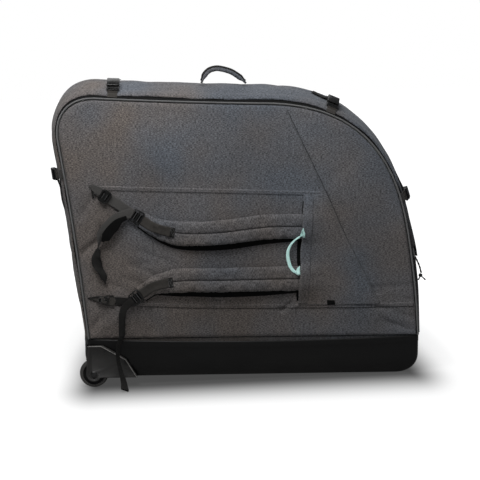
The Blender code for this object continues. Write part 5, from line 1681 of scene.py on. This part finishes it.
def filled(obj, pressure, reach, free):
    """Swells a padded piece like filled cloth, by simulation, where free(uv) doesn't hold it; nothing
    moves further than reach."""
    mesh = obj.data
    before = [v.co.copy() for v in mesh.vertices]
    looseness = [1.0] * len(before)
    cloth = mesh.uv_layers["cloth"].data
    for loop in mesh.loops:
        k = loop.vertex_index
        looseness[k] = min(looseness[k], free(cloth[loop.index].uv))
    held = obj.vertex_groups.new(name="held")
    for k, share in enumerate(looseness):
        held.add([k], 1 - share, "REPLACE")
    filling = obj.modifiers.new("filling", "CLOTH")
    settings = filling.settings
    for key, value in CLOTH_SETTINGS.items():
        setattr(settings, key, value)
    settings.uniform_pressure_force = pressure
    settings.vertex_group_mass = "held"
    settings.effector_weights.gravity = 0.0
    filling.point_cache.frame_start, filling.point_cache.frame_end = 1, SIMULATED_FRAMES
    for number in range(1, SIMULATED_FRAMES + 1):
        bpy.context.scene.frame_set(number)
    baked(obj)
    bpy.context.scene.frame_set(1)
    obj.vertex_groups.clear()
    for vert, place in zip(obj.data.vertices, before):
        move = vert.co - place
        vert.co = place + move * min(1.0, reach / max(move.length, 1e-9))


PATCH_HALF_WIDTH = 0.0125


def build_patch(label, pad_route, length=0.092):
    """The webbing sewn along the end of a pad, with a stitched box at its far end."""
    tree = surface_of(f"{label}_shoulder_pad")
    path = list(reversed(pad_route))
    lengths = lengths_along(path)
    count = 40
    path = even_path([p for p, s in zip(path, lengths) if s < length], count)
    step = PATCH_HALF_WIDTH / 4
    rows = {k: seam_offset(path, tree, step * k, 0.0011) for k in range(-4, 5)}

    def place(u, v):
        i = round(v * count)
        k = round(u * 8) - 4
        point = rows[k][i].copy()
        ridge = min(rows[j][i].y for j in (-4, -2, 0, 2, 4))
        point.y = min(point.y, ridge + 0.0012)
        return point, (step * k, lengths[1] * i)

    bm = face_away(mapped(8, count, place), HEART)
    body = f"shoulder_strap_{label}"
    patch = add_piece(f"{label}_patch", bm, PATCH, body, "webbing", wall=0.0012, sharp=60)
    box = count - 5
    patch.data.materials.append(WEBBING)
    cloth = patch.data.uv_layers["cloth"].data
    for face in patch.data.polygons:
        if min(cloth[i].uv.y for i in face.loop_indices) > lengths[1] * (box - 0.5):
            face.material_index = 1
    corners = {(k, i): rows[k][i] + OUT * 0.0006 for k in (-3, 3) for i in (box, count - 1)}
    a, b, c, d = corners[-3, box], corners[3, box], corners[3, count - 1], corners[-3, count - 1]
    for name, line in (("box", [a, b, c, d, a]), ("cross", [a, c, b, d])):
        sew(f"{label}_{name}_stitch", line, OUT, body, 0.0034, 0.0028)


# Webbing of the harness

LOCK_LENGTH = 0.034
LOCK_THICKNESS = 0.005
LOCK_BAR = 0.004
LOCK_SEAT = 0.0044
HOOKS = metres({
    "upper": (-388, 484),
    "lower": (-396, 213),
})
ANCHORS = metres({
    "upper": (-414, 500),
    "lower": (-424, 214),
})
# Outlines of the webbing tabs sewn to the panel, as (x, z) in millimetres
ANCHOR_TABS = metres({
    "upper": (
        (
            (-430, 512), (-417.2, 516), (-396.1, 506.5), (-386, 493), (-381, 480), (-390, 473),
            (-403.6, 483.9), (-411.2, 489.2), (-421.3, 498.3),
        ),
        ((-423.5, 504), (-417.4, 502), (-415, 480.1), (-420.5, 476.5)),
    ),
    "lower": (
        (
            (-438, 215), (-410, 220.5), (-370, 223.5), (-363, 208.5), (-371, 195), (-390, 197.5),
            (-413.6, 207),
        ),
    ),
})
# Turn of a loose tail about its own line: (share of its length, degrees, share of its width)
TAIL_TURNS = {
    "upper": (
        (0, 0, 1), (0.3, 14, 1.1), (0.46, 78, 0.9), (0.56, 130, 1), (0.7, 175, 1.05), (0.82, 215, 0.8),
        (0.9, 190, 0.7), (1, 180, 0.12),
    ),
    "lower": (
        (0, 0, 0.76), (0.1, 6, 0.7), (0.22, 20, 0.7), (0.34, 54, 0.9), (0.48, 66, 0.9), (0.7, 68, 0.85),
        (0.88, 48, 0.85), (1, 42, 0.85),
    ),
}
# Centre lines of the loose tails in millimetres: (x, z, lift)
TAILS = metres({
    "upper": (
        (-356.5, 429.3, 12), (-379.9, 408.7, 14), (-395.6, 388.1, 16), (-402.3, 369.9, 15),
        (-406.6, 343.9, 12), (-413.4, 320.5, 10), (-407.3, 299.5, 9), (-394.8, 275.8, 10),
        (-390.5, 256, 8),
    ),
    "lower": (
        (-343, 190, 12), (-348, 170, 12), (-349, 145, 14), (-350, 118, 18), (-358, 90, 24),
        (-361, 62, 24), (-356, 30, 24), (-348, 2, 30), (-344, -12.5, 44), (-342, -18.5, 66),
    ),
})
# Cloth of the webbing between hook and lock, its width at the hook, and its width round the lock; the lower
# run's black webbing paints the shadow it lies in
STRAP_RUNS = {"upper": (STRAP_FACE, 0.018, STRAP_WIDTH), "lower": (WEBBING, 0.011, 0.019)}
# Towards the middle of the bend that the upper tail hangs in
INNER_SIDE = Vector((0.7, 0.0, -0.7))


def lock_frame(route):
    """A matrix on the ladder lock: local X runs on from the pad's end, local Z points out of the panel."""
    path = smooth_path([Vector(p) for p in route], 26)
    along = (path[-1] - path[-2]).normalized()
    place = path[-1] + along * (FIT + LOCK_LENGTH / 2)
    reach = 0.012

    def slope(direction):
        ahead, behind = place + direction * reach, place - direction * reach
        return (on_front(ahead.x, ahead.y) - on_front(behind.x, behind.y)).normalized()

    forward = slope(along)
    out = slope(Vector((-along.y, along.x))).cross(forward)
    if out.y > 0:
        out = -out
    out.normalize()
    across = out.cross(forward)
    origin = on_front(place.x, place.y) + out * (LOCK_SEAT + LOCK_THICKNESS)
    middle = Matrix.Translation((-LOCK_LENGTH / 2, 0, 0))
    return Matrix.Translation(origin) @ axes(forward, across, out) @ middle


def tail_point(point):
    """A point of a loose tail: on the panel, or in front of the base below it."""
    x, z, lift = point
    return on_front(x, max(z, BASE_HEIGHT + 0.002), lift) + Vector((0, 0, min(z - BASE_HEIGHT, 0.0)))


def build_strap_webbing(label, route):
    """Anchor and hook to the lock, round the lock's end bar, and the loose tail that hangs off it."""
    lock = lock_frame(route)
    bar = LOCK_LENGTH - LOCK_BAR
    turn = LOCK_THICKNESS / 2 + FIT + STRAP_THICKNESS / 2
    under = lock @ Vector((LOCK_LENGTH + FIT, 0, 0))
    anchor, hook = Vector(ANCHORS[label]), Vector(HOOKS[label])
    lift = STRAP_LIFT + STRAP_THICKNESS / 2
    flat = [anchor, hook, Vector((under.x, under.z))]
    lower = []
    for start, end in zip(flat, flat[1:]):
        for i in range(12):
            p = start.lerp(end, i / 12)
            lower.append(on_front(p.x, p.y, lift))
    around = [Vector((LOCK_LENGTH, 0, -turn))]
    for i in range(11):
        angle = math.radians(-90 - 180 * i / 10)
        around.append(Vector((bar + turn * math.cos(angle), 0, turn * math.sin(angle))))
    around.append(Vector((LOCK_LENGTH, 0, turn)))
    around = [lock @ (p - Vector((0, 0, LOCK_THICKNESS / 2))) for p in around]
    tail = smooth_path([around[-1]] + [tail_point(p) for p in TAILS[label]], 90)[1:]
    joined = lower[-6:] + around + tail[:12]
    lock_side = lock.to_3x3().col[1].copy()
    body, lock_body = f"shoulder_strap_{label}", f"ladder_lock_{label}"
    face, run_width, turn_width = STRAP_RUNS[label]
    run_in = even_path(lower[:-5], 60)

    def run_section(v, angle):
        return flat_section(run_width + 0.007 * smooth_step(v / 0.6), STRAP_THICKNESS)(v, angle)

    run_sides = panel_sides(run_in, -lock_side)
    run = add_swept(f"{label}_strap_run", run_in, run_section, 16, face, None, "webbing", None, run_sides)
    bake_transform(run)
    sides = panel_sides(lower[-6:], -lock_side) + [-lock_side] * len(around)
    sides += panel_sides(tail[:12], lock_side)
    for i in range(1, len(sides)):
        if sides[i].dot(sides[i - 1]) < 0:
            sides[i] = -sides[i]
    stands_for = (f"strap_webbing_{label}",)
    turned_back = webbing(f"{label}_strap_turn", joined, face, None, None, sides, stands_for, turn_width)
    lock_end = lock @ Vector((LOCK_LENGTH, 0, 0))
    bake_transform(turned_back)
    loose = build_tail(label, tail[11:], lock_side, body)
    if label == "upper":
        build_fold(label, tail[4:44], lock_side, body)
    softened(f"ladder_lock_{label}", 0.0007, PLASTIC, "buckle_plastic")
    clip = softened(f"strap_hook_{label}", 0.0007, PLASTIC, "buckle_plastic")
    hook_line = (flat[2] - hook).normalized()
    if label == "lower":
        for piece in (loose, bpy.data.objects["lower_tail_hem"]):
            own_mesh(piece)
        drawn_in(clip, hook_line, 0.55)
    for number, x in enumerate((0.009, 0.021), start=1):
        line = [lock @ Vector((x, -0.0115 + 0.023 * i / 8, 0.0002)) for i in range(9)]
        build_rib(f"{label}_lock_rib_{number}", line, 0.0009, lock_body, lock.to_3x3().col[2].copy())
    threaded = [lock @ Vector((0.003 + 0.027 * i / 10, 0, -0.0040)) for i in range(11)]
    webbing(f"{label}_lock_webbing", threaded, BLACK_CLOTH_AND_PAINTED_SHADE, lock_body, sides=lock_side, width=0.0205)
    build_hook_ribs(label, hook_line)


def build_rib(name, line, radius, body, out):
    """A rib pressed across a buckle part, in a lighter plastic that paints the highlight on its edge."""
    add_swept(name, line, round_section(radius), 8, RIB_PAINTED_HIGHLIGHT, body, "buckle_plastic", out)


def drawn_in(obj, along, keep):
    """Makes a piece on the panel slimmer across its own line."""
    across = Vector((-along.y, 0, along.x))
    middle = middle_of(v.co for v in obj.data.vertices)
    for vert in obj.data.vertices:
        vert.co -= across * (vert.co - middle).dot(across) * (1 - keep)


def build_hook_ribs(label, along):
    """Two ribs pressed across the strap hook, in the lighter plastic that paints their highlights."""
    node = f"strap_hook_{label}"
    found = surface_of("soft_" + node)
    low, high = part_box(node)
    centre, across = (low + high) / 2, Vector((-along.y, along.x))
    centre = Vector((centre.x, centre.z))
    reach = 0.0072 if label == "upper" else 0.0040
    body = frame["nodes"][node]["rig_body"]
    for number, step in enumerate((-0.0045, 0.0045), start=1):
        flat = [centre + along * step + across * reach * (i / 4 - 1) for i in range(9)]
        line = [hit_from_front(found, p.x, p.y, 0.0002) for p in flat]
        build_rib(f"{label}_hook_rib_{number}", line, 0.0008, body, OUT)


def panel_sides(path, first):
    """Width directions of webbing that faces the front, kept from flipping over."""
    sides = []
    for i in range(len(path)):
        side = heading(path, i).cross(OUT).normalized()
        if side.dot(sides[-1] if sides else first) < 0:
            side = -side
        sides.append(side)
    return sides


def build_tail(label, path, lock_side, body):
    """A loose end of webbing that turns over as it hangs, pale on its face and black on its back: two tones
    of one webbing that paint light and shade on its turns.
    """
    keys = TAIL_TURNS[label]
    sides = panel_sides(path, lock_side)
    count = len(path) - 1

    def at(share, k):
        for (a, *first), (b, *second) in zip(keys, keys[1:]):
            if share <= b:
                return first[k] + (second[k] - first[k]) * smooth_step((share - a) / (b - a))
        return keys[-1][k + 1]

    for i, side in enumerate(sides):
        angle = math.radians(at(i / count, 0))
        sides[i] = side * math.cos(angle) + side.cross(heading(path, i)).normalized() * math.sin(angle)

    def section(v, angle):
        return flat_section(STRAP_WIDTH * at(v, 1), STRAP_THICKNESS)(v, angle)

    if label == "lower":
        end, hem_width = -7, STRAP_WIDTH * 0.86
        webbing("lower_tail_hem", path[end:], WEBBING, body, None, sides[end:], (), hem_width, 0.0042)
    tail = add_swept(f"{label}_strap_tail", path, section, 16, WEBBING, body, "webbing", None, sides)
    tail.data.materials.append(STRAP_FACE)
    cloth = tail.data.uv_layers["cloth"].data
    pale = lengths_along(path)[-1] * (1.0 if label == "upper" else 0.0)
    for face in tail.data.polygons:
        spots = [cloth[i].uv for i in face.loop_indices]
        if min(spot.x for spot in spots) > 0.02 and max(spot.y for spot in spots) < pale:
            face.material_index = 1
    return tail


def build_fold(label, path, lock_side, body):
    """A black strip along the inner side of a loose end's bend: partly the webbing's back turned over,
    partly painted shade inside the bend.
    """
    sides = panel_sides(path, lock_side)
    steps = len(path) - 1

    def width(v):
        return (0.011 + 0.014 * smooth_step(v / 0.5)) * (1 - 0.7 * smooth_step((v - 0.82) / 0.18))

    inner = []
    for i, (p, side) in enumerate(zip(path, sides)):
        shift = 0.0050 + width(i / steps) * 0.30
        inner.append(p + side * math.copysign(shift, side.dot(INNER_SIDE)) + Vector((0, -0.0022, 0)))

    def section(v, angle):
        return flat_section(width(v), STRAP_THICKNESS)(v, angle)

    add_swept(f"{label}_strap_fold", inner, section, 16, BLACK_CLOTH_AND_PAINTED_SHADE, body, "webbing", None, sides)


def flat_tab(corners, place, cuts=4):
    """A flat piece of webbing cut to the given corners and laid down by place(x, z)."""
    bm = bmesh.new()
    face = bm.faces.new([bm.verts.new((x, 0, z)) for x, z in corners])
    bmesh.ops.triangulate(bm, faces=[face])
    bmesh.ops.subdivide_edges(bm, edges=bm.edges[:], cuts=cuts, use_grid_fill=True)
    cloth = bm.loops.layers.uv.new("cloth")
    for one in bm.faces:
        for loop in one.loops:
            loop[cloth].uv = loop.vert.co.x, loop.vert.co.z
    for vert in bm.verts:
        vert.co = place(vert.co.x, vert.co.z)
    return face_away(bm, HEART)


def build_anchor(label):
    """Webbing tabs sewn to the panel, which the hook holds on to."""
    lower = label == "lower"
    drape = surface_of(f"soft_strap_hook_{label}") if lower else None
    for number, corners in enumerate(ANCHOR_TABS[label], start=1):

        def place(x, z, lift=0.0058 - 0.0016 * number):
            """On the panel, or over the hook that the tab is looped round."""
            spot = on_front(x, z, lift)
            hit = drape and drape.ray_cast(Vector((x, -1.0, z)), -OUT)[0]
            return hit + OUT * 0.0010 if hit and hit.y - 0.0010 < spot.y else spot

        # The lower tab takes the darker patch webbing, which paints the shade it lies in
        material = PATCH if lower else WEBBING if number == 2 else STRAP_FACE
        bm = flat_tab(corners, place, 6)
        add_piece(f"{label}_anchor_tab_{number}", bm, material, "lid", "webbing", wall=0.0012)
        placed = [place(x, z) for x, z in corners]
        if lower:
            edge = even_path([p + OUT * 0.0008 for p in placed[:3]], 30)
            section = flat_section(0.0030, 0.0016)
            add_swept("lower_anchor_binding", edge, section, 10, WEBBING, "lid", "webbing", OUT)
        middle = middle_of(placed)
        line = [p.lerp(middle, 0.15) + OUT * 0.0004 for p in placed[:3]]
        sew(f"{label}_anchor_stitch_{number}", line, OUT, "lid", 0.0036, 0.0026)


# Seams and pocket

PANEL_SEAMS = metres({
    "upper": ((-400, 505), (-220, 500), (-38, 495), (116, 490), (176, 488)),
    "lower": ((-400, 205), (-151, 194), (116, 191), (326, 190), (424, 190)),
    "diagonal": ((76, 702), (82.5, 689.1), (117, 616), (157, 534), (197, 450), (237, 362.8), (327, 191)),
})
# Width of the near-black strip beside a seam, painted shade in the seam's gap
SEAM_SHADE_WIDTH = {"upper": 0.0002, "lower": 0.0006, "diagonal": 0.0008}
STITCHED_TAB = metres(((189, 206), (190.5, 190), (211, 189), (209.5, 205)))


def seam_offset(path, tree, offset, lift):
    """A line beside a seam on the panel's cloth."""
    spots = [p + sideways(path, i) * offset for i, p in enumerate(path)]
    return [hit_from_front(tree, p.x, p.y, lift) for p in spots]


# Across a lapped seam: (place, lift)
LAP = ((-0.0052, 0.0000), (-0.0048, 0.0012), (-0.0020, 0.0016), (0.0020, 0.0013), (0.0060, -0.0002))
LAP_STEPS = 150


def build_panel_seams(tree):
    """Lapped seams: each a low step in the cloth with a row of stitches beside it."""
    for label, points in PANEL_SEAMS.items():
        path = smooth_path([Vector(p) for p in points], LAP_STEPS)
        slanted = label == "diagonal"

        def place(u, v, path=path, slanted=slanted):
            i = round(u * LAP_STEPS)
            across, lift = LAP[round(v * 4)]
            spot = path[i] + sideways(path, i) * across
            lift *= 0.85 if slanted else 0.6
            if slanted and spot.y < POCKET_TOP:
                lift += 0.0012
            return hit_from_front(tree, spot.x, spot.y, lift), (spot.x, spot.y)

        def shade_section(v, angle, label=label, fade=0.62 if slanted else 2.0):
            width = SEAM_SHADE_WIDTH[label] * (1 - 0.7 * smooth_step((v - fade) / 0.08))
            return flat_section(width, 0.0008)(v, angle)

        slot = "heather_fabric"
        add_sheet(f"{label}_lapped_seam", LAP_STEPS, 4, place, HEATHER, "lid", slot, wall=0.0006, sharp=50)
        # A near-black strip beside each seam paints the shade in its gap
        cut = seam_offset(path, tree, 0.0062 if slanted else -0.0060, 0.0010)
        add_swept(f"{label}_seam_edge", cut, shade_section, 8, BLACK_CLOTH_AND_PAINTED_SHADE, "lid", slot, OUT)
        beside = seam_offset(path, tree, 0.0030, 0.0024)
        sew(f"{label}_seam_stitch", beside, OUT, "lid", 0.0052, 0.0036, 0.00045)


# How far the painted shade inside the pocket's mouth shows beside its open edge: (height, reach) in
# millimetres
MOUTH_SHADE_REACH = metres((
    (190, 2), (205, 4), (224, 6), (240, 5), (290, 5), (312, 9), (345, 10.5), (372, 9), (384, 2.5),
    (440, 1.8), (490, 1.2),
))


def build_stitched_tab(pocket_tree):
    """A short black tab sewn into the lower seam."""
    bm = flat_tab(STITCHED_TAB, lambda x, z: hit_from_front(pocket_tree, x, z, 0.0016), 3)
    add_piece("stitched_tab", bm, BLACK_CLOTH_AND_PAINTED_SHADE, "lid", "webbing", wall=0.0012)


def pocket_edge(z):
    """The pocket's open edge, which slants a little."""
    return POCKET_EDGE + POCKET_SLANT * (z - 0.335)


def build_pocket(tree):
    """The stow pocket's panel: sewn down on three sides, standing off over the straps at its open edge."""
    up = 90

    def place(u, v):
        z = POCKET_FOOT + (POCKET_TOP - POCKET_FOOT) * v
        length = POCKET_FOOT_LENGTH + (POCKET_TOP_LENGTH - POCKET_FOOT_LENGTH) * v
        x = POCKET_EDGE - 0.0006 + length * u
        from_edge = x - POCKET_EDGE
        near = math.exp(-(max(from_edge, 0.0) / 0.045) ** 1.4)
        straps = sum(math.exp(-(abs(z - route[0][1]) / 0.036) ** 4) for route in PADS.values())
        mouth = smooth_step((z - POCKET_FOOT) / 0.035) * smooth_step((POCKET_TOP - z) / 0.045)
        lift = 0.0026 + (0.0065 * mouth + 0.0120 * min(straps, 1.0)) * near
        sewn = min(1.0, v * 12, (1 - v) * 12)
        if u > 0.2:
            sewn = min(sewn, u * 30, (1 - u) * 12)
        lift = 0.0012 + (lift - 0.0012) * smooth_step(sewn)
        fold = wobble(x * 20, 2.0, z * 9) * 0.0010 * smooth_step(sewn)
        x += (0.0012 * math.sin(z * 70) + pocket_edge(z) - POCKET_EDGE) * math.exp(-from_edge / 0.03)
        base = Vector((x, min(hit_from_front(tree, x, z).y, on_front(x, z).y), z))
        return base + OUT * (lift + fold), (x, z)

    slot = "heather_fabric"
    add_sheet("stow_pocket_cloth", 70, up, place, HEATHER, "lid", slot, ("stow_pocket",), wall=0.0018)
    found = surface_of("stow_pocket_cloth")

    def hem(u, v):
        z = POCKET_FOOT + 0.004 + (POCKET_TOP - POCKET_FOOT - 0.008) * v
        x = pocket_edge(z) + 0.0006 + 0.026 * u
        edge = min(u * 8, 1.0, (1 - u) * 8)
        return hit_from_front(found, x, z, 0.0003 + 0.0007 * smooth_step(edge)), (x, z)

    add_sheet("pocket_hem_cloth", 12, up, hem, HEM, "lid", slot, wall=0.0010)

    # Painted shade: a near-black sheet beside the open edge, inside the pocket's mouth
    def mouth_shade(u, v):
        z = POCKET_FOOT + 0.012 + (POCKET_TOP - POCKET_FOOT - 0.030) * v
        reach = MOUTH_SHADE_REACH[-1][1]
        for (z0, r0), (z1, r1) in zip(MOUTH_SHADE_REACH, MOUTH_SHADE_REACH[1:]):
            if z0 <= z <= z1:
                reach = r0 + (r1 - r0) * smooth_step((z - z0) / (z1 - z0))
        x = pocket_edge(z) - reach + (reach + 0.012) * u
        return hit_from_front(tree, x, z, 0.0006 - 0.0003 * (1 - u)), (x, z)

    add_sheet("pocket_mouth_shade", 8, up, mouth_shade, BLACK_CLOTH_AND_PAINTED_SHADE, "lid", slot, wall=0.0004)
    for offset, label in ((0.0022, "edge"), (0.0075, "hem")):
        heights = [POCKET_FOOT + 0.006 + (POCKET_TOP - POCKET_FOOT - 0.012) * i / 80 for i in range(81)]
        line = [hit_from_front(found, POCKET_EDGE + offset, z, 0.0003) for z in heights]
        sew(f"pocket_{label}_stitch", line, OUT, "lid", 0.0052, 0.0034, 0.00036)
    return found


# Centre line of the loop between its two sewn ends in millimetres: (x, z), half width
HAUL_LINE = metres((
    (119, 382, 2), (115.5, 378, 2), (102.4, 368.3, 2.3), (89.4, 353.4, 3), (83.8, 336.3, 4.2),
    (84.4, 319.2, 4.8), (88.7, 301.6, 4.7), (95.8, 290.2, 4.2), (104.6, 284, 3.4), (111.7, 282.9, 2.8),
))
# Two places near the loop's top end; the loop is not bent between them
HAUL_BEND = metres(((122.5, 382), (112.6, 382.7)))
# Corners of the two tabs that hold its ends
HAUL_TABS = metres({
    "top": ((114.2, 379.3), (118, 390), (121.3, 400.5), (127.2, 387.1), (127, 375.2), (120.2, 375.5)),
    "foot": ((102.5, 281.4), (106.9, 293.8), (114.7, 300.9), (115.8, 278.3), (109.9, 276.8)),
})


def build_haul_loop(pocket_tree):
    """A loop of coloured webbing on edge, drawn in at both ends under a stitched tab."""
    low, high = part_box("haul_loop")
    depth = (low.y + high.y) / 2
    flat = smooth_path([Vector(spot) for spot in HAUL_LINE], 60)

    def before_pocket(x, z, lift):
        hit = hit_from_front(pocket_tree, x, z)
        return Vector((x, min(depth, hit.y - 0.0018) - lift, z))

    path = [before_pocket(p.x, p.y, 0.0) for p in flat]
    depths = smoothed([p.y for p in path], 4)
    path = [Vector((p.x, y, p.z)) for p, y in zip(path, depths)]

    def section(v, angle):
        across = signed_power(math.cos(angle), 0.5) * flat[round(v * 60)].z
        return across, signed_power(math.sin(angle), 0.7) * 0.0026

    slot = "mint_webbing"
    pieces = [add_swept("haul_webbing", path, section, 18, MINT, None, slot, OUT, None, ("haul_loop",))]
    for name, corners in HAUL_TABS.items():
        name = "haul_tab_" + name
        bm = flat_tab(corners, lambda x, z: before_pocket(x, z, 0.0022), 3)
        pieces.append(add_piece(name, bm, MINT, None, slot, wall=0.0018))
        ring = [before_pocket(x, z, 0.0028) for x, z in corners]
        middle = middle_of(ring)
        ring = [p.lerp(middle, 0.22) for p in (*ring, ring[0])]
        pieces.append(sew(name + "_stitch", ring, OUT, None, 0.0026, 0.0020, 0.00030, 0.0))
    start, end = (Vector((x, depth, z)) for x, z in HAUL_BEND)
    for piece in pieces:
        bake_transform(piece)


# Inside the case

LINING_DEPTH = 0.014
QUILT_PITCH = 0.075
QUILT_DEPTH = 0.003


def quilted_lining(name, side, body, node):
    """The padded lining behind a panel, sewn in broad channels."""
    foot, inset = BASE_HEIGHT + 0.018, PIPING_RADIUS + 0.018
    loop = [p - n * inset for p, n in zip(SEAM, SEAM_NORMAL) if p.y > foot]
    left, right = Vector((loop[0].x, foot)), Vector((loop[-1].x, foot))
    loop += [right.lerp(left, i / FOOT_STEPS) for i in range(FOOT_STEPS + 1)]
    count = len(loop)

    def place(u, v):
        i = round(u * count) % count
        share = 1 - v
        x, z = PANEL_CENTRE + (loop[i] - PANEL_CENTRE) * share
        quilt = abs(math.sin(math.pi * z / QUILT_PITCH)) ** 0.5
        depth = panel_depth(share) - LINING_DEPTH - QUILT_DEPTH * quilt * smooth_step(v / 0.05)
        return Vector((x, side * depth, z)), (x * side, z)

    inside = Vector((0, side * 10.0, 0.4))
    lining = add_sheet(name, count, 60, place, LINING, body, "padding_foam", (node,), 0.004, inside=inside)


def build_inside():
    quilted_lining("front_lining", -1, "lid", "front_foam")
    quilted_lining("back_lining", 1, "case", "back_foam")
    case_end = zip_band()[3]
    bm = gusset_strip(case_end + 0.004, HALF_DEPTH - 0.014, 20, -0.0105, (), 0.0010)
    bmesh.ops.reverse_faces(bm, faces=bm.faces)
    lining = add_piece("gusset_lining", bm, LINING, "case", "padding_foam", ("gusset_foam",), wall=0.004)
    softened("base_board", 0.0008, BOARD, "board_plastic")
    softened("axle_bolt_front", 0.0004, BLACK_STEEL, "steel")
    softened("axle_bolt_rear", 0.0004, BLACK_STEEL, "steel")
    low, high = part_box("hinge_tape")
    middle = (low + high) / 2
    path = [Vector((low.x + (high.x - low.x) * i / 60, middle.y, middle.z)) for i in range(61)]
    size = high - low
    webbing("lid_hinge_tape", path, WEBBING, "case", OUT, None, ("hinge_tape",), size.z, size.y)
    lining_tree = surface_of("back_lining")
    for number in (1, 2):
        node = f"inner_strap_{number}"
        low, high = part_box(node)
        places = [v.co for v in frame["nodes"][node].data.vertices]
        path = []
        for z in sorted({round(place.z, 4) for place in places}):
            near = [place.y for place in places if abs(place.z - z) < 0.0011]
            path.append(Vector(((low.x + high.x) / 2, sum(near) / len(near), z)))
        path = even_path(path, 60)
        for p in path:
            hit = lining_tree.ray_cast(Vector((p.x, 0, p.z)), -OUT)[0]
            p.y = min(p.y, hit.y - 0.0018) if hit else p.y
        webbing(f"bike_strap_{number}", smoothed(path, 3), GREY_WEBBING, "case", OUT, stands_for=(node,))
        softened(f"cam_buckle_{number}", 0.0008, PLASTIC, "buckle_plastic")


def build_case():
    tree = build_panels()
    gusset_tree = build_gusset()
    build_base()
    for side in (-1, 1):
        build_housing(side)
        build_wheel(side)
    build_compression_straps(gusset_tree)
    build_handle(gusset_tree)
    build_zip_garage()
    build_panel_seams(tree)
    pocket_tree = build_pocket(tree)
    build_stitched_tab(pocket_tree)
    for label, route in PADS.items():
        pad_route = build_pad(label, route, tree)
        build_patch(label, pad_route)
        build_strap_webbing(label, route)
        build_anchor(label)
    build_haul_loop(pocket_tree)
    build_inside()


bpy.context.scene.view_settings.view_transform = "Standard"
build_camera()
build_zip_cord()
build_world()
build_floor()
build_lights()
build_case()
